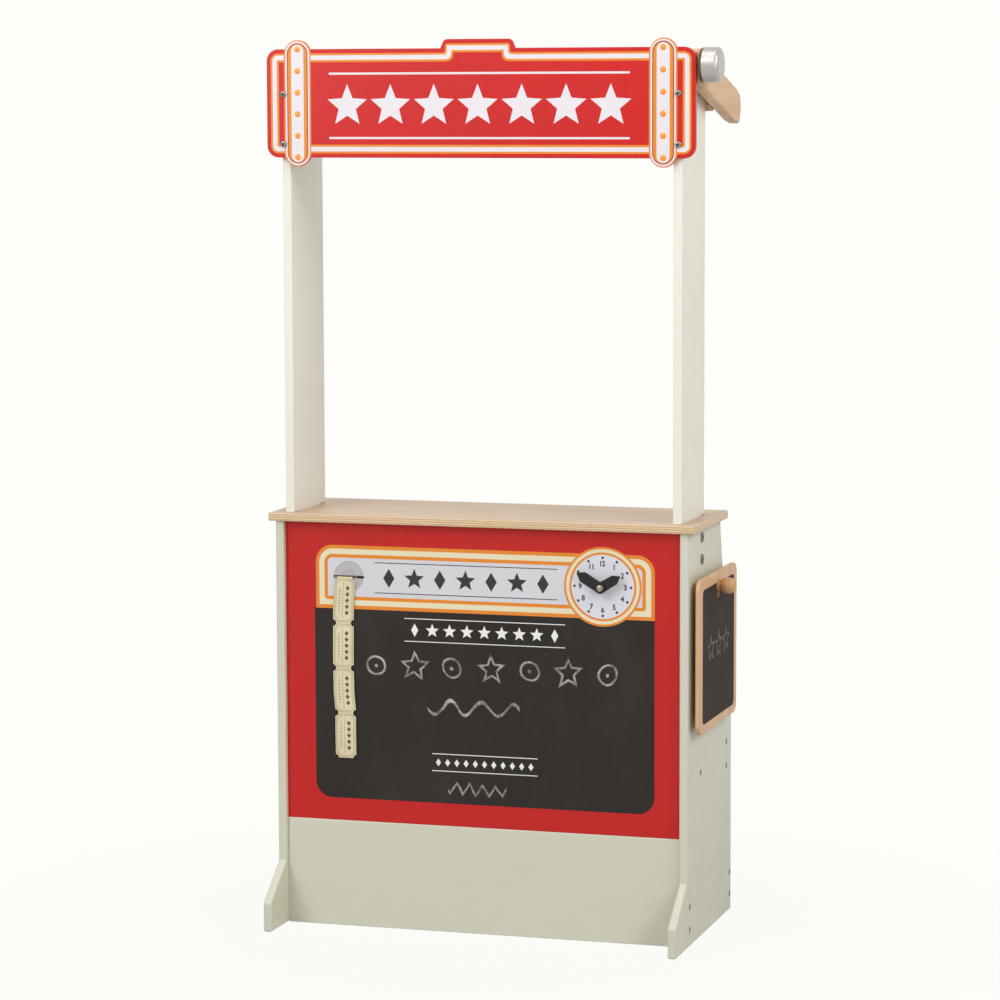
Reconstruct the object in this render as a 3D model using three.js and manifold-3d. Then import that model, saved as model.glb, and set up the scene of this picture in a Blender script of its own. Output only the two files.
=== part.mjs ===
// A child's puppet theatre stand: a cabinet with a chalk front and a toy clock, two uprights with a sign,
// a ticket strip, a small chalkboard on a peg and a toy lamp on an arm.
// Millimetres. +Z is up, the front faces -Y. The origin is on the floor, under the middle of the kick board.
import * as THREE from "three";
import Module from "manifold-3d";
import { mergeVertices } from "three/addons/utils/BufferGeometryUtils.js";

const wasm = await Module();
wasm.setup();

// Whole stand.
const overallHeight = 1200;
const boardThickness = 12;
const insideWidth = 552;
const gap = 0.3;

// Side panels. Depths are measured back from their front edges.
const panelHeight = 554;
const panelTopDepth = 181;
const panelFootDepth = 252;
const kinkDepth = 250;
const kinkHeight = 275;
const kinkRadius = 40;
const toeReach = 62;
const toeHeight = 41;
const toeSlopeHeight = 87;
const toeRadius = 3;
const panelCornerRadius = 4;

// Kick board and front board.
const kickHeight = 145.6;
const kickSetBack = 7;
const frontBoardThickness = 4;
const frontBoardSetBack = 8.5;
const grooveDepth = 4;

// Countertop.
const counterThickness = 11;
const counterSideOverhang = 9;
const counterFrontOverhang = 4;
const counterRearOverhang = 11;
const counterFrontRadius = 3;
const counterRearRadius = 6;
const slotReliefRadius = 7.6;

// Shelf, lip board and rear rail.
const shelfHeight = 219;
const shelfSetBack = 20;
const lipSetBack = 214.5;
const lipBottom = 192;
const lipHeight = 65;
const railSetBack = 237.5;
const railHeight = 77;

// Uprights.
const uprightDepth = 126.2;
const tongueSetBack = 16;
const tongueDepth = 91;
const tongueLength = 69;
const uprightTopDrop = 4;

// Sign board.
const signOverhang = 19.2;
const signHeight = 144;
const signThickness = 6;
const signSetBack = 4;
const signRadius = 16;
const crestRise = 12;
const crestFootWidth = 103;
const crestTopWidth = 92;
const crestRadius = 6;
const tabWidth = 37.4;
const tabInset = 43.5;

// Wood screws.
const screwRadius = 2;
const screwHeadRadius = 4.8;
const screwHeadDepth = 2.6;
const screwCrown = 0.4;
const screwLength = 38;
const screwTip = 5;
const recessWidth = 1.3;
const recessSpan = 4.8;
const recessDepth = 1.7;
const lowScrewHeight = 23.5;
const highScrewHeight = 54;
const lipScrewInset = 16;
const shelfScrewSetBack = 71.7;
const signScrewShift = 1.7;
const signScrewLow = 18;
const signScrewHigh = 84.4;
const panHeadRadius = 4.5;
const panHeadHeight = 2.4;
const signScrewLength = 32;

// Connector bolts and sleeve nuts.
const boltRadius = 3;
const boltHeadRadius = 6.8;
const boltHeadHeight = 1.2;
const socketRadius = 2.3;
const socketDepth = 1.6;
const sleeveWall = 1;
const sleeveLength = 9;
const boltInNut = 8;
const boltSetBack = 75;
const upperBoltDrop = 12.5;
const boltSpacing = 29.5;

// Clock on the front board.
const clockInset = 106.6;
const clockDrop = 74.6;
const pinRadius = 2.4;
const pinHeadRadius = 5;
const pinHeadHeight = 3.4;
const pinTail = 5;
const clockSpacerRadius = 5;
const clockSpacerLength = 10.2;
const clockNutRadius = 6;
const clockNutThickness = 3;
const handThickness = 1.7;
const handTailRadius = 7.5;
const minuteHandLength = 38;
const minuteShoulder = 27.5;
const minuteHandWidth = 14.6;
const minuteHandAngle = 149;
const hourHandLength = 32;
const hourShoulder = 22.3;
const hourHandWidth = 13.4;
const hourHandAngle = 31;
const handNeck = 14;

// Ticket strip and its slot.
const ticketSlotInset = 89.8;
const ticketShift = 5.8;
const ticketSlotWidth = 42.6;
const ticketSlotHeight = 1.4;
const ticketDrop = 74;
const ticketCount = 4;
const ticketLength = 61.6;
const ticketWidth = 29.3;
const ticketThickness = 0.7;
const ticketStandOff = 1.2;
const ticketNotch = 4;
const ticketTail = 18;

// Hanging chalkboard and its peg.
const pegSetBack = 113;
const pegDrop = 81;
const stemRadius = 6.75;
const pegCollarRadius = 12;
const pegCollarLength = 7.4;
const pegHeadRadius = 11.25;
const pegHeadLength = 21.2;
const stemReach = 3;
const hangWidth = 213.5;
const hangHeight = 207;
const hangTopRise = 19;
const hangThickness = 6;
const hangRadius = 15;
const hangHoleRadius = 11.8;
const pegScrewBite = 14;

// Lamp and its arm. Heights are measured down from the top of the arm.
const armTopDrop = 0.5;
const armThickness = 16;
const armClearance = 4.8;
const armSetBack = 13;
const armFrontDepth = 47.5;
const armLowerSetBack = 61;
const armLowerDrop = 59.5;
const armTailSetBack = 205;
const armTailDrop = 96.5;
const armTipSetBack = 235;
const armTipDrop = 101;
const armRearSetBack = 244;
const armRearDrop = 79;
const armRearTopSetBack = 238;
const armRearTopDrop = 60;
const armUpperSetBack = 217.5;
const armUpperDrop = 52.5;
const armRadius = 7;
const lampSetBack = 18.9;
const lampDrop = 23;
const lampRadius = 23;
const lampLength = 22.7;
const lampFillet = 5.5;
const lampCollarRadius = 22.3;
const lampCollarLength = 2.4;
const lampScrewBite = 12;
const armBoltSetBack = 72.7;
const armBoltDrop = 37.5;
const armSpacerRadius = 11;
const armDowelRadius = 8.25;
const armDowelLength = 19.7;
const armDowelDrop = 75;
const armTenonRadius = 3.5;
const armTenonLength = 8;

// Facets of round pieces.
const roundSegments = 16;
const holeSegments = 12;
const largeSegments = 40;
const arcSegments = 3;
const socketSides = 6;

// Derived positions.
const panelInner = insideWidth / 2;
const panelOuter = panelInner + boardThickness;
const counterBottom = panelHeight + gap;
const counterTop = counterBottom + counterThickness;
const boardEnd = panelInner - gap;
const frontBoardBack = frontBoardSetBack + frontBoardThickness;
const signTop = overallHeight - crestRise;
const signHalf = panelInner + signOverhang;
const signBottom = signTop - signHeight;
const signBack = signSetBack + signThickness;
const uprightFront = signBack + gap;
const uprightRear = uprightFront + uprightDepth;
const uprightTop = signTop - uprightTopDrop;
const uprightFoot = counterTop + gap;
const uprightInner = panelInner - boardThickness;
const tongueFront = uprightFront + tongueSetBack;
const tongueRear = tongueFront + tongueDepth;
const tongueBottom = panelHeight - tongueLength;
const armOuter = signHalf + armClearance;
const armInner = armOuter - armThickness;
const armTop = signTop - armTopDrop;
const lampHeight = armTop - lampDrop;
const boltShank = boardThickness + boltInNut;
const clockX = panelInner - clockInset;
const clockHeight = panelHeight - clockDrop;
const ticketSlotX = ticketSlotInset - panelInner;
const ticketX = ticketSlotX - ticketShift;
const ticketTop = panelHeight - ticketDrop;
const pegHeight = panelHeight - pegDrop;

// Turns the drawing plane of an outline: side boards are drawn in Y and Z and grow along +X,
// front boards are drawn in X and Z and grow towards the viewer, flat boards grow up.
const xAxis = new THREE.Vector3(1, 0, 0);
const yAxis = new THREE.Vector3(0, 1, 0);
const zAxis = new THREE.Vector3(0, 0, 1);
const sideways = new THREE.Matrix4().makeBasis(yAxis, zAxis, xAxis);
const facing = new THREE.Matrix4().makeBasis(xAxis, zAxis, yAxis.clone().negate());
const flat = new THREE.Matrix4();

// A closed outline from corners [x, y, radius], with an arc at each corner that has a radius.
function outline(corners) {
  const shape = new THREE.Shape();
  const count = corners.length;
  corners.forEach(([x, y, radius], index) => {
    const corner = new THREE.Vector2(x, y);
    if (!radius) {
      if (index) shape.lineTo(x, y);
      else shape.moveTo(x, y);
      return;
    }
    const before = new THREE.Vector2(...corners[(index + count - 1) % count]);
    const after = new THREE.Vector2(...corners[(index + 1) % count]);
    const inward = before.sub(corner).normalize();
    const outward = after.sub(corner).normalize();
    const half = Math.acos(THREE.MathUtils.clamp(inward.dot(outward), -1, 1)) / 2;
    const reach = radius / Math.tan(half);
    const start = corner.clone().addScaledVector(inward, reach);
    const end = corner.clone().addScaledVector(outward, reach);
    const bisector = inward.clone().add(outward).normalize();
    const centre = corner.clone().addScaledVector(bisector, radius / Math.sin(half));
    const startAngle = Math.atan2(start.y - centre.y, start.x - centre.x);
    const endAngle = Math.atan2(end.y - centre.y, end.x - centre.x);
    if (!index) shape.moveTo(start.x, start.y);
    shape.absarc(centre.x, centre.y, radius, startAngle, endAngle, inward.cross(outward) > 0);
  });
  return shape;
}

// A rectangle with rounded corners, drawn from its lower left corner.
function rectangle(left, bottom, width, height, radius) {
  const right = left + width;
  const top = bottom + height;
  return outline([
    [left, bottom, radius],
    [right, bottom, radius],
    [right, top, radius],
    [left, top, radius],
  ]);
}

// An outline grown to a thickness from a start distance in one of the drawing planes.
function grow(shape, thickness, plane, start) {
  const geometry = new THREE.ExtrudeGeometry(shape, {
    depth: thickness,
    bevelEnabled: false,
    curveSegments: arcSegments,
  });
  return geometry.translate(0, 0, start).applyMatrix4(plane);
}

// A box from its low corner and its size.
function block(low, size) {
  const geometry = new THREE.BoxGeometry(...size);
  return geometry.translate(...low.map((value, axis) => value + size[axis] / 2));
}

// A turned piece: the profile lists [radius, distance] and starts and ends on the axis.
function turned(profile, direction, at, segments = roundSegments) {
  const points = profile.map(([radius, distance]) => new THREE.Vector2(radius, distance));
  const geometry = new THREE.LatheGeometry(points, segments);
  geometry.applyQuaternion(new THREE.Quaternion().setFromUnitVectors(yAxis, direction));
  return geometry.translate(...at);
}

// Conversions between three.js geometry and solids.
function solid(geometry) {
  const bare = new THREE.BufferGeometry();
  bare.setAttribute("position", geometry.getAttribute("position"));
  if (geometry.index) bare.setIndex(geometry.index);
  const merged = mergeVertices(bare, 1e-4);
  const made = new wasm.Manifold(
    new wasm.Mesh({
      numProp: 3,
      vertProperties: merged.attributes.position.array,
      triVerts: new Uint32Array(merged.index.array),
    }),
  );
  return made;
}

function geometryOf(shape) {
  const mesh = shape.getMesh();
  const geometry = new THREE.BufferGeometry();
  geometry.setAttribute("position", new THREE.BufferAttribute(mesh.vertProperties, mesh.numProp));
  geometry.setIndex(new THREE.BufferAttribute(mesh.triVerts, 1));
  const facets = geometry.toNonIndexed();
  facets.computeVertexNormals();
  return facets;
}

// The body with every cutter taken away.
function cut(body, cutters) {
  return geometryOf(cutters.reduce((rest, cutter) => rest.subtract(solid(cutter)), solid(body)));
}

// Surface finishes: colour, roughness and metalness.
const finishes = {
  cream: [0xe0e0d4, 0.45, 0],
  red: [0xc4362f, 0.45, 0],
  plywood: [0xd8c2a2, 0.55, 0],
  wood: [0xd3b295, 0.55, 0],
  slate: [0x34302d, 0.8, 0],
  paper: [0xe8dfba, 0.8, 0],
  black: [0x1d1c1b, 0.5, 0],
  steel: [0xb9b7b2, 0.35, 1],
  bronze: [0x4a4038, 0.4, 1],
  chrome: [0xd9d9d9, 0.12, 1],
  silver: [0xa8a5a1, 0.35, 0],
  brown: [0x4c3221, 0.7, 0],
};

const theatre = new THREE.Group();
theatre.name = "puppet_theater_stand";

function add(name, geometry, finish) {
  const [color, roughness, metalness] = finishes[finish];
  const material = new THREE.MeshStandardMaterial({ color, roughness, metalness });
  const mesh = new THREE.Mesh(geometry, material);
  mesh.name = name;
  theatre.add(mesh);
}

const sides = [
  ["left", -1],
  ["right", 1],
];

// Low X of a board that spans from near to far on the given side.
function lowX(side, near, far) {
  return side > 0 ? near : -far;
}

// A countersunk wood screw's body. With room it is the hole that clears the screw.
function screwBody(length, direction, at, room = 0) {
  const shank = screwRadius + room;
  const head = screwHeadRadius + room;
  const profile = [
    [0, -screwCrown - room],
    [head * 0.6, -screwCrown - room],
    [head, 0],
    [head, room + screwCrown / 2],
    [shank, screwHeadDepth + room],
    [shank, length - screwTip + room],
    [0, length + room],
  ];
  return turned(profile, direction, at, holeSegments);
}

// A cross recess at the head of a screw, as two blades.
function crossRecess(direction, at, height) {
  const across = Math.abs(direction.x) > 0 ? yAxis : xAxis;
  const other = new THREE.Vector3().crossVectors(direction, across);
  const depth = recessDepth + height;
  return [across, other].map((axis) => {
    const blade = new THREE.BoxGeometry(recessSpan, recessWidth, 2 * depth);
    const cross = new THREE.Vector3().crossVectors(direction, axis);
    blade.applyMatrix4(new THREE.Matrix4().makeBasis(axis, cross, direction));
    return blade.translate(...at).translate(...direction.clone().multiplyScalar(-height));
  });
}

// Pieces that cut their neighbours are listed by place, so each board finds its own holes.
const holes = [];

function woodScrew(name, length, direction, at) {
  add(name, cut(screwBody(length, direction, at), crossRecess(direction, at, screwCrown)), "steel");
  holes.push(screwBody(length, direction, at, gap));
}

// A board whose holes are all those of the fixings listed so far that reach it.
function drilled(body, extra = []) {
  const wood = solid(body);
  const reaching = holes.filter((hole) => wood.intersect(solid(hole)).volume() > gap ** 3);
  return cut(body, [...reaching, ...extra]);
}

// Screws through the side panels.
const kickMiddle = kickSetBack + boardThickness / 2;
const railMiddle = railSetBack + boardThickness / 2;
const lipMiddle = lipSetBack + boardThickness / 2;
const shelfMiddle = shelfHeight + boardThickness / 2;
const screwPlaces = [
  ["kick_screw_low", kickMiddle, lowScrewHeight],
  ["kick_screw_high", kickMiddle, highScrewHeight],
  ["rail_screw_low", railMiddle, lowScrewHeight],
  ["rail_screw_high", railMiddle, highScrewHeight],
  ["lip_screw_low", lipMiddle, lipBottom + lipScrewInset],
  ["lip_screw_high", lipMiddle, lipBottom + lipHeight - lipScrewInset],
  ["shelf_screw", shelfScrewSetBack, shelfMiddle],
];
for (const [label, side] of sides) {
  const inward = xAxis.clone().multiplyScalar(-side);
  for (const [name, depth, height] of screwPlaces) {
    woodScrew(`${name}_${label}`, screwLength, inward, [side * panelOuter, depth, height]);
  }
}

// A bolt with a socket head that starts at its seat and runs along the direction.
function bolt(name, shank, direction, at) {
  const profile = [
    [0, -boltHeadHeight - gap],
    [boltHeadRadius - boltHeadHeight / 3, -boltHeadHeight - gap],
    [boltHeadRadius, -boltHeadHeight / 2 - gap],
    [boltHeadRadius, -gap],
    [boltRadius, -gap],
    [boltRadius, shank],
    [0, shank],
  ];
  const socket = new THREE.CylinderGeometry(socketRadius, socketRadius, 2 * socketDepth, socketSides);
  socket.applyQuaternion(new THREE.Quaternion().setFromUnitVectors(yAxis, direction));
  socket.translate(...direction.clone().multiplyScalar(-boltHeadHeight - gap));
  socket.translate(...at);
  add(name, cut(turned(profile, direction, at), [socket]), "bronze");
}

// A sleeve nut: a flat head on the near face and a sleeve towards the bolt.
function sleeveNut(name, direction, at) {
  const bore = boltRadius + gap;
  const sleeve = bore + sleeveWall;
  const profile = [
    [0, -boltHeadHeight - gap],
    [boltHeadRadius - boltHeadHeight / 3, -boltHeadHeight - gap],
    [boltHeadRadius, -boltHeadHeight / 2 - gap],
    [boltHeadRadius, -gap],
    [sleeve, -gap],
    [sleeve, sleeveLength],
    [bore, sleeveLength],
    [bore, 0],
    [0, 0],
  ];
  add(name, turned(profile, direction, at), "bronze");
}

// A round hole along X.
function boreX(radius, from, to, depth, height) {
  const length = to - from;
  const geometry = new THREE.CylinderGeometry(radius, radius, length, roundSegments);
  geometry.applyQuaternion(new THREE.Quaternion().setFromUnitVectors(yAxis, xAxis));
  return geometry.translate(from + length / 2, depth, height);
}

// Bolts that hold the uprights' tongues to the side panels.
const upperBoltHeight = panelHeight - upperBoltDrop;
const boltHeights = [
  ["upper", upperBoltHeight],
  ["lower", upperBoltHeight - boltSpacing],
];
const boltHole = boltRadius + gap;
const sleeveHole = boltHole + sleeveWall + gap;
for (const [label, side] of sides) {
  const inward = xAxis.clone().multiplyScalar(-side);
  const outward = xAxis.clone().multiplyScalar(side);
  for (const [place, height] of boltHeights) {
    bolt(`bolt_${place}_${label}`, boltShank, inward, [side * panelOuter, boltSetBack, height]);
    sleeveNut(`nut_${place}_${label}`, outward, [side * uprightInner, boltSetBack, height]);
  }
}

// Screws that hold the sign to the front edges of the uprights.
const signScrewX = uprightInner + boardThickness / 2 + signScrewShift;
const signScrewHeights = [
  ["low", signBottom + signScrewLow],
  ["high", signBottom + signScrewHigh],
];
for (const [label, side] of sides) {
  for (const [place, height] of signScrewHeights) {
    const at = [side * signScrewX, signSetBack, height];
    const profile = (room) => [
      [0, -panHeadHeight - gap - room],
      [panHeadRadius * 0.6 + room, -panHeadHeight - gap - room],
      [panHeadRadius + room, -panHeadHeight / 2 - gap],
      [panHeadRadius + room, -gap],
      [screwRadius + room, -gap],
      [screwRadius + room, signScrewLength - screwTip + room],
      [0, signScrewLength + room],
    ];
    const body = turned(profile(0), yAxis, at, holeSegments);
    add(`sign_screw_${place}_${label}`, cut(body, crossRecess(yAxis, at, panHeadHeight + gap)), "steel");
    holes.push(turned(profile(gap), yAxis, at, holeSegments));
  }
}

// Screw that holds the peg of the small chalkboard, from inside the right panel.
const pegScrewLength = boardThickness + pegScrewBite;
woodScrew("peg_screw", pegScrewLength, xAxis, [panelInner, pegSetBack, pegHeight]);

// Screw that holds the lamp, from the inner face of the arm.
const lampScrewLength = armThickness + lampCollarLength + lampScrewBite;
woodScrew("lamp_screw", lampScrewLength, xAxis, [armInner, lampSetBack, lampHeight]);

// Side panels, with a groove for the front board.
const panelCorners = [
  [-toeReach, 0, toeRadius],
  [panelFootDepth, 0, panelCornerRadius],
  [kinkDepth, kinkHeight, kinkRadius],
  [panelTopDepth, panelHeight, 0],
  [0, panelHeight, 0],
  [0, toeSlopeHeight, 0],
  [-toeReach, toeHeight, toeRadius],
];
const grooveBottom = kickHeight + gap;
for (const [label, side] of sides) {
  const start = lowX(side, panelInner, panelOuter);
  const panel = grow(outline(panelCorners), boardThickness, sideways, start);
  const groove = block(
    [lowX(side, panelInner - grooveDepth, panelInner + grooveDepth), frontBoardSetBack - gap, grooveBottom],
    [2 * grooveDepth, frontBoardThickness + 2 * gap, panelHeight],
  );
  const bores = boltHeights.map(([, height]) =>
    boreX(boltHole, start - boardThickness, start + 2 * boardThickness, boltSetBack, height),
  );
  add(`side_panel_${label}`, drilled(panel, [groove, ...bores]), "cream");
}

// Kick board, shelf, lip board and rear rail between the panels.
function between(name, depth, height, size, finish) {
  const board = block([-boardEnd, depth, height], [2 * boardEnd, ...size]);
  add(name, drilled(board), finish);
}
between("kick_board", kickSetBack, 0, [boardThickness, kickHeight], "cream");
between("shelf", shelfSetBack, shelfHeight, [lipSetBack - gap - shelfSetBack, boardThickness], "cream");
between("shelf_lip", lipSetBack, lipBottom, [boardThickness, lipHeight], "cream");
between("rear_rail", railSetBack, 0, [boardThickness, railHeight], "cream");

// Front board in the grooves, with the ticket slot and the hole for the clock's pin.
const frontBoardHalf = panelInner + grooveDepth - gap;
const frontBoardBottom = kickHeight + gap;
const frontBoard = block(
  [-frontBoardHalf, frontBoardSetBack, frontBoardBottom],
  [2 * frontBoardHalf, frontBoardThickness, panelHeight - frontBoardBottom],
);
const slotShape = rectangle(
  ticketSlotX - ticketSlotWidth / 2,
  ticketTop - ticketSlotHeight / 2,
  ticketSlotWidth,
  ticketSlotHeight,
  ticketSlotHeight / 2 - gap,
);
const slotCut = grow(slotShape, 3 * frontBoardThickness, facing, -frontBoardBack - frontBoardThickness);
const pinBore = turned(
  [
    [0, 0],
    [pinRadius + gap, 0],
    [pinRadius + gap, 3 * frontBoardThickness],
    [0, 3 * frontBoardThickness],
  ],
  yAxis,
  [clockX, frontBoardSetBack - frontBoardThickness, clockHeight],
);
add("front_board", cut(frontBoard, [slotCut, pinBore]), "red");

// Countertop with two slots for the tongues. The slots end in round reliefs.
const counterHalf = panelOuter + counterSideOverhang;
const counterRear = panelTopDepth + counterRearOverhang;
const counterShape = outline([
  [-counterHalf, -counterFrontOverhang, counterFrontRadius],
  [counterHalf, -counterFrontOverhang, counterFrontRadius],
  [counterHalf, counterRear, counterRearRadius],
  [-counterHalf, counterRear, counterRearRadius],
]);
const slotCuts = sides.flatMap(([, side]) => {
  const middle = (side * (uprightInner + panelInner)) / 2;
  const slot = block(
    [middle - boardThickness / 2 - gap, tongueFront - gap, counterBottom - counterThickness],
    [boardThickness + 2 * gap, tongueDepth + 2 * gap, 3 * counterThickness],
  );
  const reliefs = [tongueFront + slotReliefRadius - gap, tongueRear - slotReliefRadius + gap].map((depth) => {
    const hole = new THREE.CylinderGeometry(slotReliefRadius, slotReliefRadius, 3 * counterThickness, roundSegments);
    hole.applyQuaternion(new THREE.Quaternion().setFromUnitVectors(yAxis, zAxis));
    return hole.translate(middle, depth, counterBottom + counterThickness / 2);
  });
  return [slot, ...reliefs];
});
add("countertop", cut(grow(counterShape, counterThickness, flat, counterBottom), slotCuts), "plywood");

// Uprights: shoulders on the countertop, tongues through its slots.
const armBoltHeight = armTop - armBoltDrop;
const uprightCorners = [
  [uprightFront, uprightFoot, 0],
  [tongueFront, uprightFoot, 0],
  [tongueFront, tongueBottom, 0],
  [tongueRear, tongueBottom, 0],
  [tongueRear, uprightFoot, 0],
  [uprightRear, uprightFoot, 0],
  [uprightRear, uprightTop, 0],
  [uprightFront, uprightTop, 0],
];
for (const [label, side] of sides) {
  const start = lowX(side, uprightInner, panelInner);
  const upright = grow(outline(uprightCorners), boardThickness, sideways, start);
  const bores = boltHeights.map(([, height]) =>
    boreX(sleeveHole, start - boardThickness, start + 2 * boardThickness, boltSetBack, height),
  );
  if (side > 0) {
    bores.push(boreX(sleeveHole, start - boardThickness, start + 2 * boardThickness, armBoltSetBack, armBoltHeight));
  }
  add(`upright_${label}`, drilled(upright, bores), "cream");
}

// Sign board: rounded board, crest and a round-ended tab band near each end, all in one piece.
const tabTop = overallHeight;
const tabX = signHalf - tabInset;
const tabBottom = signBottom - crestRise;
const tabRadius = tabWidth / 2 - gap / 2;
const signShapes = [
  rectangle(-signHalf, signBottom, 2 * signHalf, signHeight, signRadius),
  outline([
    [-crestFootWidth / 2, signTop - crestRise, 0],
    [crestFootWidth / 2, signTop - crestRise, 0],
    [crestFootWidth / 2, signTop, 0],
    [crestTopWidth / 2, overallHeight, crestRadius],
    [-crestTopWidth / 2, overallHeight, crestRadius],
    [-crestFootWidth / 2, signTop, 0],
  ]),
  ...sides.map(([, side]) =>
    rectangle(side * tabX - tabWidth / 2, tabBottom, tabWidth, tabTop - tabBottom, tabRadius),
  ),
];
const signBody = signShapes
  .map((shape) => solid(grow(shape, signThickness, facing, -signBack)))
  .reduce((whole, piece) => whole.add(piece));
add("sign_board", drilled(geometryOf(signBody)), "red");

// Clock: spacer sleeve, two hands and a pin with a domed head, held by a nut behind the board.
const spacerFront = frontBoardSetBack - gap - clockSpacerLength;
const hourFront = spacerFront - gap - handThickness;
const minuteFront = hourFront - gap - handThickness;
const pinSeat = minuteFront - gap;
const nutFront = frontBoardBack + gap;
const nutRear = nutFront + clockNutThickness;
const clockBore = pinRadius + gap;
function clockRing(name, radius, from, to, finish) {
  const ring = new THREE.CylinderGeometry(radius, radius, to - from, roundSegments);
  const bore = new THREE.CylinderGeometry(clockBore, clockBore, 2 * (to - from), roundSegments);
  add(name, cut(ring, [bore]).translate(0, (from + to) / 2, 0).translate(clockX, 0, clockHeight), finish);
}
clockRing("clock_spacer", clockSpacerRadius, spacerFront, frontBoardSetBack - gap, "black");
clockRing("clock_nut", clockNutRadius, nutFront, nutRear, "steel");
const pinProfile = [
  [0, pinSeat - pinHeadHeight],
  [pinHeadRadius / 2, pinSeat - pinHeadHeight * 0.9],
  [pinHeadRadius * 0.85, pinSeat - pinHeadHeight * 0.6],
  [pinHeadRadius, pinSeat - pinHeadHeight * 0.15],
  [pinHeadRadius, pinSeat],
  [pinRadius, pinSeat],
  [pinRadius, nutRear + pinTail],
  [0, nutRear + pinTail],
];
add("clock_pin", turned(pinProfile, yAxis, [clockX, 0, clockHeight]), "chrome");

// A flat hand: a round tail at the pin that widens to shoulders, then runs to a point.
function clockHand(name, length, shoulder, width, angle, front) {
  const shape = new THREE.Shape();
  const neck = Math.asin(handNeck / 2 / handTailRadius);
  shape.absarc(0, 0, handTailRadius, neck, 2 * Math.PI - neck, false);
  shape.lineTo(shoulder, -width / 2);
  shape.lineTo(length, 0);
  shape.lineTo(shoulder, width / 2);
  const bore = new THREE.CylinderGeometry(clockBore, clockBore, 3 * handThickness, roundSegments);
  bore.applyQuaternion(new THREE.Quaternion().setFromUnitVectors(yAxis, zAxis));
  const plate = new THREE.ExtrudeGeometry(shape, {
    depth: handThickness,
    bevelEnabled: false,
    curveSegments: holeSegments,
  });
  const hand = cut(plate, [bore]).rotateZ(THREE.MathUtils.degToRad(angle)).applyMatrix4(facing);
  add(name, hand.translate(clockX, front + handThickness, clockHeight), "black");
}
clockHand("hour_hand", hourHandLength, hourShoulder, hourHandWidth, hourHandAngle, hourFront);
clockHand("minute_hand", minuteHandLength, minuteShoulder, minuteHandWidth, minuteHandAngle, minuteFront);

// Ticket strip: a chain of cards with notched waists, its top folded back through the slot.
const ticketBottom = ticketTop - ticketCount * ticketLength;
const ticketFront = frontBoardSetBack - ticketStandOff - ticketThickness;
const strip = new THREE.Shape();
const ticketLeft = ticketX - ticketWidth / 2;
const ticketRight = ticketX + ticketWidth / 2;
const stripTop = ticketTop + ticketThickness / 2;
strip.moveTo(ticketLeft, stripTop);
for (let card = 1; card <= ticketCount; card += 1) {
  const seam = ticketTop - card * ticketLength;
  strip.absarc(ticketLeft, seam, ticketNotch, Math.PI / 2, card < ticketCount ? -Math.PI / 2 : 0, true);
}
for (let card = ticketCount; card >= 1; card -= 1) {
  const seam = ticketTop - card * ticketLength;
  strip.absarc(ticketRight, seam, ticketNotch, card < ticketCount ? -Math.PI / 2 : Math.PI, Math.PI / 2, true);
}
strip.lineTo(ticketRight, stripTop);
const hanging = solid(grow(strip, ticketThickness, facing, -ticketFront - ticketThickness));
const fold = solid(
  block(
    [ticketLeft, ticketFront, ticketTop - ticketThickness / 2],
    [ticketWidth, frontBoardBack - ticketFront + ticketTail, ticketThickness],
  ),
);
add("ticket_strip", geometryOf(hanging.add(fold)), "paper");

// Peg of the small chalkboard: collar, stem and a rounded head.
const hangInner = panelOuter + gap + pegCollarLength + gap;
const pegBase = panelOuter + gap;
const stemStart = pegBase + pegCollarLength;
const stemEnd = hangInner + hangThickness + stemReach;
const pegEnd = stemEnd + pegHeadLength;
const pegBore = screwRadius + gap;
const pegBoreEnd = panelOuter + pegScrewBite + gap;
const pegProfile = [
  [0, pegBoreEnd],
  [pegBore, pegBoreEnd],
  [pegBore, pegBase],
  [pegCollarRadius, pegBase],
  [pegCollarRadius, stemStart],
  [stemRadius, stemStart],
  [stemRadius, stemEnd],
  [pegHeadRadius * 0.82, stemEnd + pegHeadLength * 0.15],
  [pegHeadRadius, stemEnd + pegHeadLength * 0.4],
  [pegHeadRadius * 0.9, stemEnd + pegHeadLength * 0.75],
  [pegHeadRadius * 0.55, stemEnd + pegHeadLength * 0.97],
  [0, pegEnd],
];
add("board_peg", turned(pegProfile, xAxis, [0, pegSetBack, pegHeight], largeSegments / 2), "wood");

// Small chalkboard that hangs on the peg by its round hole.
const hangHoleHeight = pegHeight + stemRadius + gap - hangHoleRadius;
const hangBottom = pegHeight + hangTopRise - hangHeight;
const hangShape = rectangle(pegSetBack - hangWidth / 2, hangBottom, hangWidth, hangHeight, hangRadius);
const hangHole = new THREE.CylinderGeometry(hangHoleRadius, hangHoleRadius, 3 * hangThickness, largeSegments);
hangHole.applyQuaternion(new THREE.Quaternion().setFromUnitVectors(yAxis, xAxis));
hangHole.translate(hangInner + hangThickness / 2, pegSetBack, hangHoleHeight);
add("hanging_board", cut(grow(hangShape, hangThickness, sideways, hangInner), [hangHole]), "slate");

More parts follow.
